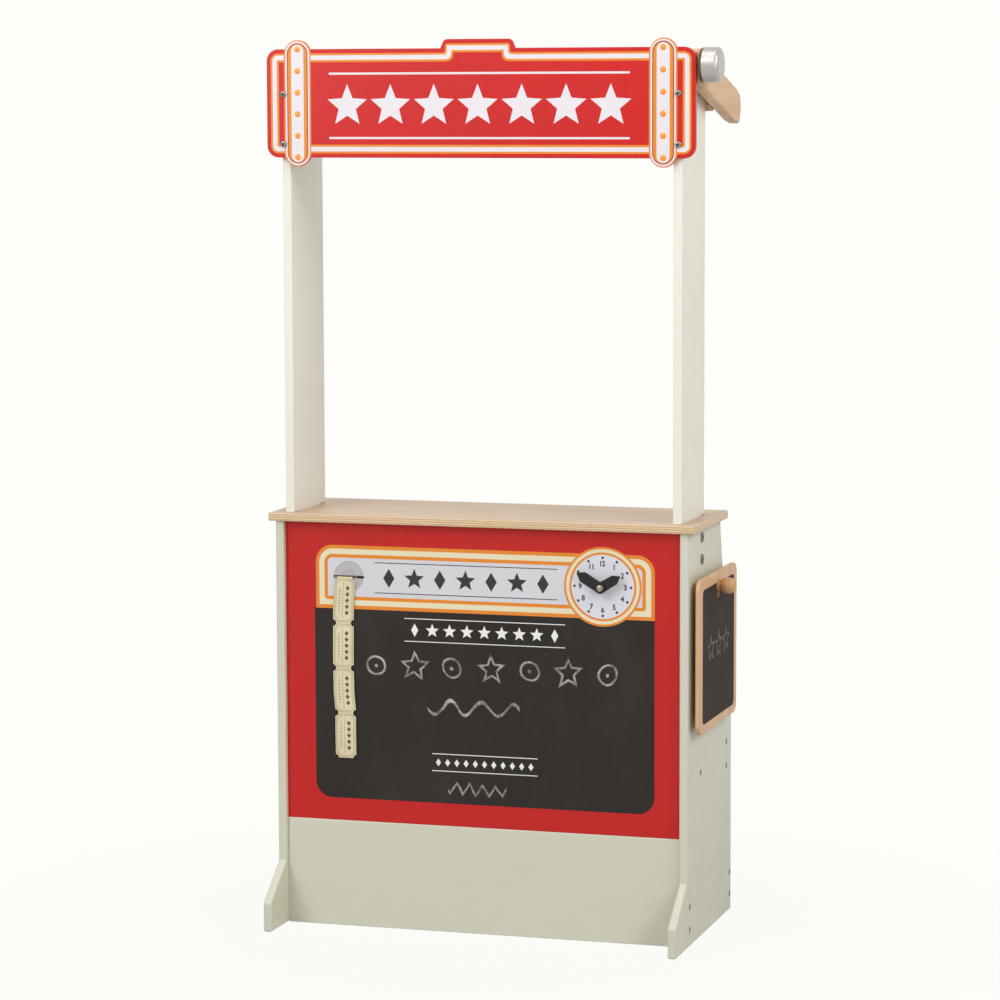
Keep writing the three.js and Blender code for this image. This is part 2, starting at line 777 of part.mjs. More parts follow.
// Arm of the lamp: a flat bar that runs back and down, outside the right upright.
const armCorners = [
  [armSetBack, armTop - armFrontDepth, 0],
  [armLowerSetBack, armTop - armLowerDrop, 0],
  [armTailSetBack, armTop - armTailDrop, 0],
  [armTipSetBack, armTop - armTipDrop, armRadius],
  [armRearSetBack, armTop - armRearDrop, armRadius],
  [armRearTopSetBack, armTop - armRearTopDrop, armRadius],
  [armUpperSetBack, armTop - armUpperDrop, 0],
  [armSetBack, armTop, 0],
];
const dowelHeight = armTop - armDowelDrop;
const dowelSetBack = uprightRear + gap + armDowelRadius;
const armCuts = [
  boreX(boltHole, armInner - armThickness, armOuter + armThickness, armBoltSetBack, armBoltHeight),
  boreX(armTenonRadius + gap, armInner - armThickness, armInner + armTenonLength + gap, dowelSetBack, dowelHeight),
];
add("lamp_arm", drilled(grow(outline(armCorners), armThickness, sideways, armInner), armCuts), "wood");

// Dowel on the arm's inner face, behind the upright: it keeps the arm from turning on its bolt.
const dowelEnd = armInner - gap;
const dowelStart = dowelEnd - armDowelLength;
const dowelProfile = [
  [0, dowelStart],
  [armDowelRadius - gap, dowelStart],
  [armDowelRadius, dowelStart + gap],
  [armDowelRadius, dowelEnd],
  [armTenonRadius, dowelEnd],
  [armTenonRadius, armInner + armTenonLength],
  [0, armInner + armTenonLength],
];
add("arm_dowel", turned(dowelProfile, xAxis, [0, dowelSetBack, dowelHeight], roundSegments), "wood");

// Spacer, bolt and nut of the arm.
const spacerProfile = [
  [boltHole, panelInner + gap],
  [armSpacerRadius, panelInner + gap],
  [armSpacerRadius, armInner - gap],
  [boltHole, armInner - gap],
  [boltHole, panelInner + gap],
];
add("arm_spacer", turned(spacerProfile, xAxis, [0, armBoltSetBack, armBoltHeight]), "wood");
const armShank = armOuter - uprightInner - boardThickness + boltInNut;
bolt("arm_bolt", armShank, xAxis.clone().negate(), [armOuter, armBoltSetBack, armBoltHeight]);
sleeveNut("arm_nut", xAxis, [uprightInner, armBoltSetBack, armBoltHeight]);

// Lamp: a dark collar on the arm and a rounded silver body.
const collarStart = armOuter + gap;
const collarEnd = collarStart + lampCollarLength;
const lampStart = collarEnd + gap;
const lampEnd = lampStart + lampLength;
const lampBoreEnd = armInner + lampScrewLength + gap;
const collarProfile = [
  [pegBore, collarStart],
  [lampCollarRadius, collarStart],
  [lampCollarRadius, collarEnd],
  [pegBore, collarEnd],
  [pegBore, collarStart],
];
add("lamp_collar", turned(collarProfile, xAxis, [0, lampSetBack, lampHeight], largeSegments), "brown");
const lampProfile = [
  [0, lampBoreEnd],
  [pegBore, lampBoreEnd],
  [pegBore, lampStart],
  [lampRadius, lampStart],
];
const filletSteps = arcSegments + 1;
for (let step = 0; step <= filletSteps; step += 1) {
  const turn = (step / filletSteps) * (Math.PI / 2);
  const radius = lampRadius - lampFillet + lampFillet * Math.cos(turn);
  lampProfile.push([radius, lampEnd - lampFillet + lampFillet * Math.sin(turn)]);
}
lampProfile.push([0, lampEnd]);
add("lamp_body", turned(lampProfile, xAxis, [0, lampSetBack, lampHeight], largeSegments), "silver");

// The origin sits under the middle of the kick board.
theatre.position.set(0, -kickMiddle, 0);

export default theatre;
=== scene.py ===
"""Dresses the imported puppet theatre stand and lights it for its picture.

Every size in the classes below is in millimetres in the stand's own frame: the floor is Z 0, the
front faces -Y and the viewer's right is +X. Meshes are made in metres at their place.
"""

import logging
import math
from dataclasses import dataclass
from enum import Enum
from typing import Iterable, Sequence

import bmesh
import bpy
from mathutils import Matrix, Vector


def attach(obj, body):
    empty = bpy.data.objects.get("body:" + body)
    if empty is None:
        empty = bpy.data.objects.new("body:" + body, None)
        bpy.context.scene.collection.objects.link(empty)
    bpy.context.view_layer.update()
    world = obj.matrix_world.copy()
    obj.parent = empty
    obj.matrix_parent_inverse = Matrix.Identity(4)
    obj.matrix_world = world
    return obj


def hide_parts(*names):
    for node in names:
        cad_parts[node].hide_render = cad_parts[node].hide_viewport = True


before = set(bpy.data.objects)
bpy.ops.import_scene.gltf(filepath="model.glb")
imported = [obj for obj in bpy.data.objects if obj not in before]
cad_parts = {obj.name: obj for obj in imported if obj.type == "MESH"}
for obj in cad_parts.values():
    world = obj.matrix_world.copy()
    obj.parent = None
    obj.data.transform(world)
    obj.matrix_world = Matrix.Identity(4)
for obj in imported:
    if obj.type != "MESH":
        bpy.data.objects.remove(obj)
LOG = logging.getLogger("puppet_theatre")
MM = 0.001
SIDES = (("left", -1.0), ("right", 1.0))
RIGHT, BACK, UP = Vector((1, 0, 0)), Vector((0, 1, 0)), Vector((0, 0, 1))
BMesh, Mesh, Material, Socket = bmesh.types.BMesh, bpy.types.Mesh, bpy.types.Material, bpy.types.NodeSocket
Pair, Point = tuple[float, float], tuple[float, float, float]
Corner = Point
Profile = Sequence[Pair]
Colour = tuple[float, float, float, float]


def pigment(red: float, green: float, blue: float) -> Colour:
    """A colour from its display values.

    Args:
        red: Red, 0 to 255.
        green: Green, 0 to 255.
        blue: Blue, 0 to 255.

    Returns:
        The linear colour with full alpha.
    """

    def linear(value: float) -> float:
        """One channel as light."""
        share = value / 255
        return share / 12.92 if share <= 0.04045 else ((share + 0.055) / 1.055) ** 2.4

    return (linear(red), linear(green), linear(blue), 1.0)


@dataclass(frozen=True)
class Layout:
    """Planes and centres that several pieces share."""

    panel_inner: float = 276.0
    panel_outer: float = 288.0
    upright_inner: float = 264.0
    panel_top: float = 554.0
    counter_bottom: float = 554.3
    counter_top: float = 565.3
    board_thickness: float = 12.0
    arm_inner: float = 284.0
    arm_outer: float = 300.0
    # Wood screws in the side panels, as (Y, Z).
    kick_screws: tuple[Pair, ...] = ((0.0, 23.5), (0.0, 54.0))
    rail_screws: tuple[Pair, ...] = ((230.5, 23.5), (230.5, 54.0))
    lip_screws: tuple[Pair, ...] = ((207.5, 208.0), (207.5, 241.0))
    shelf_screws: tuple[Pair, ...] = ((58.7, 225.0),)
    # Bolts that hold the uprights, screws that hold the sign.
    bolt_y: float = 62.0
    bolt_heights: Pair = (541.5, 512.0)
    sign_screw_x: float = 271.7
    sign_screw_heights: Pair = (1062.0, 1128.4)
    # Centres of the turned pieces on the right, as (Y, Z).
    arm_bolt: Pair = (59.7, 1150.0)
    arm_dowel: Pair = (132.0, 1112.5)
    lamp: Pair = (5.9, 1164.5)
    peg: Pair = (100.0, 473.0)
    # Centre of the clock and of the ticket slot on the front board, as (X, Z).
    clock: Pair = (169.4, 479.4)
    ticket_slot: Pair = (-186.2, 480.0)


LAYOUT = Layout()


# ---- shader expressions


class Wire:
    """A socket of one material that Python expressions can work on."""

    def __init__(self, paints: "Paintbox", socket: Socket) -> None:
        """Keeps the socket and the material it belongs to."""
        self.paints = paints
        self.socket = socket

    def __add__(self, other: "Number") -> "Wire":
        """Sum."""
        return self.paints.maths("ADD", self, other)

    __radd__ = __add__

    def __sub__(self, other: "Number") -> "Wire":
        """Difference."""
        return self.paints.maths("SUBTRACT", self, other)

    def __rsub__(self, other: "Number") -> "Wire":
        """Difference from a number."""
        return self.paints.maths("SUBTRACT", other, self)

    def __mul__(self, other: "Number") -> "Wire":
        """Product."""
        return self.paints.maths("MULTIPLY", self, other)

    __rmul__ = __mul__

    def __truediv__(self, other: "Number") -> "Wire":
        """Quotient."""
        return self.paints.maths("DIVIDE", self, other)

    def __pow__(self, other: "Number") -> "Wire":
        """Power."""
        return self.paints.maths("POWER", self, other)

    def __neg__(self) -> "Wire":
        """Negative."""
        return self.paints.maths("MULTIPLY", self, -1.0)

    def __abs__(self) -> "Wire":
        """Size without sign."""
        return self.paints.maths("ABSOLUTE", self)

    def least(self, other: "Number") -> "Wire":
        """The smaller of the two."""
        return self.paints.maths("MINIMUM", self, other)

    def most(self, other: "Number") -> "Wire":
        """The larger of the two."""
        return self.paints.maths("MAXIMUM", self, other)

    def hypot(self, other: "Wire") -> "Wire":
        """Length of the two as legs of a right angle."""
        return self.paints.maths("SQRT", self * self + other * other)

    def below(self, limit: "Number", blur: float = 0.25) -> "Wire":
        """1 where this is under the limit and 0 above it, with an edge as wide as the blur."""
        return self.paints.spread(self - limit, blur / 2, -blur / 2)

    def above(self, limit: "Number", blur: float = 0.25) -> "Wire":
        """1 where this is over the limit and 0 under it."""
        return self.paints.spread(self - limit, -blur / 2, blur / 2)


Number = Wire | float
Source = Wire | float | Socket
Tone = Colour | Wire


class Paintbox:
    """Builds the nodes of one material, or of the world."""

    def __init__(self, owner: str | bpy.types.World) -> None:
        """Starts with no nodes but the one for the surface point.

        Args:
            owner: Name of a new material, or the world.
        """
        self.owner = bpy.data.materials.new(owner) if isinstance(owner, str) else owner
        self.owner.use_nodes = True
        self.nodes = self.owner.node_tree.nodes
        self.links = self.owner.node_tree.links
        self.nodes.clear()
        self.place = self.node("TexCoord").outputs["Object"]

    def node(self, kind: str, settings: dict | None = None, inputs: dict | None = None) -> bpy.types.Node:
        """Adds one node.

        Args:
            kind: The node's type, without ShaderNode in front.
            settings: Its properties, which are set first.
            inputs: Values, wires or sockets by input name or number.

        Returns:
            The node.
        """
        made = self.nodes.new(f"ShaderNode{kind}")
        for key, value in (settings or {}).items():
            setattr(made, key, value)
        for key, value in (inputs or {}).items():
            if isinstance(value, Wire):
                value = value.socket
            if isinstance(value, Socket):
                self.links.new(value, made.inputs[key])
            else:
                made.inputs[key].default_value = value
        return made

    def maths(self, operation: str, *values: Number) -> Wire:
        """One Math node on one to three values."""
        made = self.node("Math", {"operation": operation}, dict(enumerate(values)))
        return Wire(self, made.outputs[0])

    def spread(self, value: "Source", low: float, high: float, start: float = 0.0, end: float = 1.0) -> Wire:
        """The value's range low to high laid out as start to end, and held there outside it."""
        ends = {"Value": value, "From Min": low, "From Max": high, "To Min": start, "To Max": end}
        return Wire(self, self.node("MapRange", {"clamp": True}, ends).outputs[0])

    def mix(self, mask: Number, under: Tone, over: Tone) -> Wire:
        """A colour laid over another where the mask is 1."""
        made = self.node("Mix", {"data_type": "RGBA"}, {0: mask, 6: under, 7: over})
        return Wire(self, made.outputs[2])

    def split(self, vector: Socket) -> tuple[Wire, Wire, Wire]:
        """The three parts of a vector in metres, as millimetres."""
        scaled = self.node("VectorMath", {"operation": "SCALE"}, {0: vector, "Scale": 1000.0})
        parts = self.node("SeparateXYZ", None, {0: scaled.outputs[0]})
        return tuple(Wire(self, parts.outputs[i]) for i in range(3))

    def noise(
        self,
        scale: float,
        detail: float = 2.0,
        roughness: float = 0.5,
        stretch: Sequence[float] = (1.0, 1.0, 1.0),
        shift: float = 0.0,
        distortion: float = 0.0,
    ) -> Wire:
        """Noise from 0 to 1 over the surface.

        Args:
            scale: Waves in a metre.
            detail: Octaves of finer noise.
            roughness: Weight of the finer octaves.
            stretch: Factor on each axis, small along the direction in which the noise is drawn out.
            shift: Moves the pattern, so that two layers differ.
            distortion: How far the pattern is stirred.

        Returns:
            The noise as a wire.
        """
        moved = {"Vector": self.place, "Location": (shift, shift * 1.7, shift * 0.6), "Scale": tuple(stretch)}
        inputs = {
            "Vector": self.node("Mapping", None, moved).outputs[0],
            "Scale": scale,
            "Detail": detail,
            "Roughness": roughness,
            "Distortion": distortion,
        }
        made = self.node("TexNoise", {"noise_dimensions": "3D"}, inputs)
        return Wire(self, made.outputs["Fac"])

    def bump(self, height: Wire, distance: float, strength: float = 1.0, normal: Wire | None = None) -> Wire:
        """A bumped normal.

        Args:
            height: Height from 0 to 1.
            distance: Depth of the bumps in millimetres.
            strength: Share of the effect.
            normal: A normal to build on.

        Returns:
            The normal as a wire.
        """
        inputs = {"Height": height, "Distance": distance * MM, "Strength": strength}
        if normal is not None:
            inputs["Normal"] = normal
        return Wire(self, self.node("Bump", None, inputs).outputs[0])

    def close(
        self, colour: Tone, roughness: Number, normal: Wire, specular: float = 0.5, metallic: float = 0.0
    ) -> Material:
        """Ends the material in a Principled shader.

        Args:
            colour: Base colour.
            roughness: Roughness.
            normal: Bumped normal.
            specular: Specular level.
            metallic: 1 for metal.

        Returns:
            The finished material.
        """
        inputs = {"Base Color": colour, "Roughness": roughness, "Normal": normal, "Metallic": metallic}
        inputs["Specular IOR Level"] = specular
        shader = self.node("BsdfPrincipled", None, inputs)
        self.node("OutputMaterial", None, {"Surface": shader.outputs[0]})
        return self.owner


@dataclass
class Drawing:
    """Flat shapes over two coordinates in millimetres. Each shape gives how far a point lies outside it."""

    paints: Paintbox
    across: Wire
    up: Wire

    def at(self, across: float, up: float) -> "Drawing":
        """The same drawing seen from another centre."""
        return Drawing(self.paints, self.across - across, self.up - up)

    def row(self, pitch: float) -> "Drawing":
        """The drawing repeated along a row, with its middle one at the centre."""
        near = self.paints.maths("ROUND", self.across / pitch)
        return Drawing(self.paints, self.across - near * pitch, self.up)

    def column(self, pitch: float) -> "Drawing":
        """The drawing repeated up a column, with its middle one at the centre."""
        near = self.paints.maths("ROUND", self.up / pitch)
        return Drawing(self.paints, self.across, self.up - near * pitch)

    def odd(self, pitch: float) -> Wire:
        """1 in every second cell of a row and 0 in the cells between."""
        return self.paints.maths("FLOORED_MODULO", self.paints.maths("ROUND", self.across / pitch), 2.0)

    def ring(self, count: int, radius: float) -> "Drawing":
        """The drawing repeated round the centre, its across axis pointing outwards.

        Args:
            count: Places in the ring.
            radius: Radius of the ring.

        Returns:
            A drawing that is centred on each place of the ring.
        """
        step = 2 * math.pi / count
        angle = self.paints.maths("ARCTAN2", self.up, self.across)
        fold = angle - self.paints.maths("ROUND", angle / step) * step
        reach = self.across.hypot(self.up)
        return Drawing(
            self.paints,
            reach * self.paints.maths("COSINE", fold) - radius,
            reach * self.paints.maths("SINE", fold),
        )

    def box(self, half_width: float, half_height: float, radius: float = 0.0) -> Wire:
        """A rectangle with rounded corners.

        Args:
            half_width: Half its width.
            half_height: Half its height.
            radius: Radius of its corners.

        Returns:
            Distance outside the rectangle.
        """
        a = abs(self.across) - (half_width - radius)
        b = abs(self.up) - (half_height - radius)
        return a.most(0.0).hypot(b.most(0.0)) + a.most(b).least(0.0) - radius

    def disc(self, radius: float) -> Wire:
        """A disc."""
        return self.across.hypot(self.up) - radius

    def lozenge(self, half_width: float, half_height: float) -> Wire:
        """A lozenge."""
        slope = math.hypot(half_width, half_height)
        return (abs(self.across) * half_height + abs(self.up) * half_width - half_width * half_height) / slope

    def star(self, radius: float, waist: float = 0.42) -> Wire:
        """A star with five points, one of them up.

        Args:
            radius: Distance from the centre to a point.
            waist: Radius between the points as a share of the radius.

        Returns:
            Distance outside the star.
        """
        step = math.pi / 5
        angle = self.paints.maths("ARCTAN2", self.across, self.up)
        fold = self.paints.maths("PINGPONG", angle, step)
        reach = self.across.hypot(self.up)
        px = reach * self.paints.maths("COSINE", fold)
        py = reach * self.paints.maths("SINE", fold)
        vx, vy = radius * waist * math.cos(step), radius * waist * math.sin(step)
        nx, ny = vy, radius - vx
        size = math.hypot(nx, ny)
        return (px - radius) * (nx / size) + py * (ny / size)


class Ink:
    """Layers of print, each laid over those before."""

    def __init__(self, paints: Paintbox, ground: Tone) -> None:
        """Starts with the ground colour."""
        self.paints = paints
        self.colour: Tone = ground

    def lay(self, mask: Wire, ink: Tone) -> None:
        """Lays one ink where the mask is 1."""
        self.colour = self.paints.mix(mask, self.colour, ink)

    def bands(self, depth: Wire, edges: Iterable[tuple[float, Colour]]) -> None:
        """Lays nested bands, each from its depth inwards."""
        for start, ink in edges:
            self.lay(depth.above(start), ink)


# ---- finishes


@dataclass(frozen=True)
class SatinPaint:
    """Roller-applied satin paint on wood board: soft tone changes, a faint stipple and rubbed patches."""

    name: str
    tone: Colour
    shade: Colour
    roughness: float = 0.42
    stipple: float = 0.05
    specular: float = 0.42

    def ground(self, paints: Paintbox) -> tuple[Wire, Wire, Wire]:
        """Colour, roughness and normal of the paint.

        Args:
            paints: The material that is being built.

        Returns:
            Colour, roughness and normal.
        """
        cloud = paints.noise(3.2, 3.0, 0.55)
        fine = paints.noise(38.0, 4.0, 0.6, shift=4.0)
        grain = paints.noise(1400.0, 2.0, 0.6, shift=1.0)
        sag = paints.noise(90.0, 2.0, 0.4, shift=2.0)
        mask = paints.spread(cloud * 0.8 + fine * 0.2, 0.36, 0.64)
        colour = paints.mix(mask, self.tone, self.shade)
        roughness = paints.spread(fine, 0.3, 0.7, self.roughness - 0.05, self.roughness + 0.07)
        height = grain * 0.55 + sag * 0.45
        return colour, roughness, paints.bump(height, self.stipple, 0.5)

    def material(self) -> Material:
        """The finished material."""
        paints = Paintbox(self.name)
        colour, roughness, normal = self.ground(paints)
        return paints.close(colour, roughness, normal, self.specular)


@dataclass(frozen=True)
class Palette:
    """Print colours of the stand."""

    red: Colour = pigment(206, 16, 12)
    red_deep: Colour = pigment(195, 19, 16)
    wine: Colour = pigment(146, 30, 26)
    orange: Colour = pigment(229, 136, 42)
    cream: Colour = pigment(232, 224, 190)
    lilac: Colour = pigment(229, 224, 229)
    field: Colour = pigment(214, 214, 219)
    slate: Colour = pigment(29, 24, 21)
    dark: Colour = pigment(44, 40, 38)
    white: Colour = pigment(240, 238, 236)
    chalk: Colour = pigment(205, 190, 186)
    disc: Colour = pigment(178, 173, 175)
    tick: Colour = pigment(216, 213, 215)
    # Painted shadow of the ticket slot: a band round its mouth, and its walls.
    slot_line: Colour = pigment(28, 21, 18)
    slot_wall: Colour = pigment(34, 27, 23)
    dial: Colour = pigment(222, 222, 230)
    mark: Colour = pigment(34, 33, 36)
    haze: Colour = pigment(86, 79, 74)
    dust: Colour = pigment(132, 124, 120)


PALETTE = Palette()


@dataclass(frozen=True)
class SignPrint:
    """The sign's printed face: a red field inside orange and cream lines, bulb bands and a row of stars."""

    half_width: float = 295.2
    bottom: float = 1044.0
    top: float = 1188.0
    corner: float = 16.0
    crest_half: float = 50.5
    crest_top: float = 1200.0
    crest_corner: float = 9.0
    crest_room: float = 100.0
    line_depths: tuple[float, ...] = (5.7, 8.4, 14.5, 17.4)
    band_x: float = 251.6
    band_half: float = 18.7
    band_half_height: float = 84.0
    band_line_depths: tuple[float, ...] = (-0.3, 1.8, 4.1, 5.4)
    strip_half: float = 8.7
    strip_half_height: float = 77.8
    bulb_middle: float = 1116.1
    bulb_pitch: float = 28.6
    bulb_radius: float = 4.2
    bulb_reach: float = 78.0
    bulb_low: Colour = pigment(226, 128, 40)
    bulb_high: Colour = pigment(246, 178, 84)
    rule_half: float = 207.0
    rule_half_height: float = 1.4
    rule_heights: Pair = (1155.3, 1070.2)
    star_count: int = 7
    star_pitch: float = 60.5
    star_radius: float = 29.0
    star_waist: float = 0.44
    star_drop: float = 3.5
    front_plane: float = -8.0
    rear_plane: float = -3.4
    back: Colour = pigment(226, 225, 214)
    roughness: float = 0.29
    stipple: float = 0.03
    specular: float = 0.4

    def depth(self, page: Drawing) -> Wire:
        """How deep a point lies inside the sign's outline, with its crest.

        Args:
            page: The stand's X and Z.

        Returns:
            Depth in millimetres.
        """
        x, z = page.across, page.up
        tall = (self.top - self.bottom) / 2
        board = page.at(0.0, self.bottom + tall).box(self.half_width, tall, self.corner)
        room = self.crest_room
        crest = page.at(0.0, self.crest_top - room).box(self.crest_half, room, self.crest_corner)
        # The inner corners at the crest's feet are rounded, wider the deeper they lie.
        across, down = (self.crest_half - abs(x)).most(0.0), (self.top - z).most(0.0)
        foot = ((across**4.0 + down**4.0) ** 0.25).least(self.crest_top - z)
        raised = z.above(self.top, 0.01)
        inside = (foot * (1.0 - raised) - crest * raised).least(z - self.bottom)
        crested = abs(x).below(room, 0.01)
        return inside * crested - board * (1.0 - crested)

    def material(self) -> Material:
        """The finished material."""
        paints = Paintbox("sign_print")
        x, y, z = paints.split(paints.place)
        page = Drawing(paints, x, z)
        base = SatinPaint("", PALETTE.red, PALETTE.red_deep, self.roughness, self.stipple)
        ground, roughness, normal = base.ground(paints)
        ink = Ink(paints, ground)
        lines = (PALETTE.orange, PALETTE.lilac, PALETTE.orange, ground)
        ink.bands(self.depth(page), zip(self.line_depths, lines))
        middle = (self.bottom + self.top) / 2
        for height in self.rule_heights:
            rule = page.at(0.0, height).box(self.rule_half, self.rule_half_height)
            ink.lay(rule.below(0.0), PALETTE.lilac)
        cell = page.at(0.0, middle - self.star_drop).row(self.star_pitch)
        stars = cell.star(self.star_radius, self.star_waist)
        ink.lay(stars.below(0.0) * abs(x).below(self.star_count / 2 * self.star_pitch), PALETTE.lilac)
        band = Drawing(paints, abs(x) - self.band_x, z - middle)
        outer = band.box(self.band_half, self.band_half_height, self.band_half)
        lines = (PALETTE.orange, PALETTE.lilac, PALETTE.wine, PALETTE.orange)
        for line_depth, colour in zip(self.band_line_depths, lines):
            ink.lay((outer + line_depth).below(0.0), colour)
        strip = band.box(self.strip_half, self.strip_half_height, self.strip_half)
        ink.lay(strip.below(0.0), PALETTE.lilac)
        from_middle = z - self.bulb_middle
        bulbs = Drawing(paints, band.across, from_middle - self.bulb_pitch / 2).column(self.bulb_pitch)
        bulb = bulbs.disc(self.bulb_radius).below(0.0, 0.6) * abs(from_middle).below(self.bulb_reach)
        ink.lay(bulb, paints.mix(paints.spread(bulbs.up, -4.0, 4.0), self.bulb_low, self.bulb_high))
        edge = paints.mix(y.below(self.front_plane), PALETTE.red_deep, ink.colour)
        colour = paints.mix(y.above(self.rear_plane), edge, self.back)
        return paints.close(colour, roughness, normal, self.specular)


@dataclass(frozen=True)
class ChalkDrawing:
    """Loose chalk marks, as by a child's hand: a row of stars and rings, a wave and a scribble."""

    sway: float = 9.0
    row_centre: Pair = (14.0, 361.0)
    row_pitch: float = 54.0
    row_cells: int = 7
    star_radius: float = 18.0
    star_waist: float = 0.45
    ring_radius: float = 12.5
    dot_radius: float = 2.0
    wave_centre: Pair = (-10.0, 308.0)
    wave_radian: float = 7.2
    wave_height: float = 9.0
    wave_half: float = 66.0
    scribble_centre: Pair = (-6.0, 197.0)
    scribble_step: float = 9.0
    scribble_rise: float = 1.6
    scribble_half: float = 40.0

    def strokes(self, page: Drawing) -> Wire:
        """Distance outside the strokes.

        Args:
            page: The stand's X and Z.

        Returns:
            Distance in millimetres, minus inside a stroke.
        """
        paints = page.paints
        sway = paints.noise(26.0, 1.0, 0.5, shift=7.0) - 0.5
        lean = paints.noise(26.0, 1.0, 0.5, shift=11.0) - 0.5
        loose = Drawing(paints, page.across + sway * self.sway, page.up + lean * self.sway)
        first = loose.at(*self.row_centre)
        odd = first.odd(self.row_pitch)
        cell = first.row(self.row_pitch)
        stars = abs(cell.star(self.star_radius, self.star_waist)) - 1.0
        rings = (abs(cell.disc(self.ring_radius)) - 1.1).least(cell.disc(self.dot_radius))
        line = stars * (1.0 - odd) + rings * odd
        row = line.most(abs(first.across) - self.row_cells / 2 * self.row_pitch)
        second = loose.at(*self.wave_centre)
        wave = second.up - paints.maths("SINE", second.across / self.wave_radian) * self.wave_height
        waves = (abs(wave) * 0.62 - 1.1).most(abs(second.across) - self.wave_half)
        third = loose.at(*self.scribble_centre)
        saw = paints.maths("PINGPONG", third.across + 200.0, self.scribble_step)
        zigzag = third.up - saw * self.scribble_rise + self.scribble_step * self.scribble_rise / 2
        scribble = (abs(zigzag) * 0.55 - 0.9).most(abs(third.across) - self.scribble_half)
        return row.least(waves).least(scribble)

    def mask(self, page: Drawing) -> Wire:
        """Strength of the chalk, broken up by the board's tooth.

        Args:
            page: The stand's X and Z.

        Returns:
            0 to 1.
        """
        paints = page.paints
        body = self.strokes(page).below(0.3, 1.1)
        grit = paints.noise(700.0, 3.0, 0.7, shift=3.0)
        drag = paints.noise(60.0, 2.0, 0.6, shift=5.0)
        return body * paints.spread(grit + drag * 0.6, 0.62, 0.95)


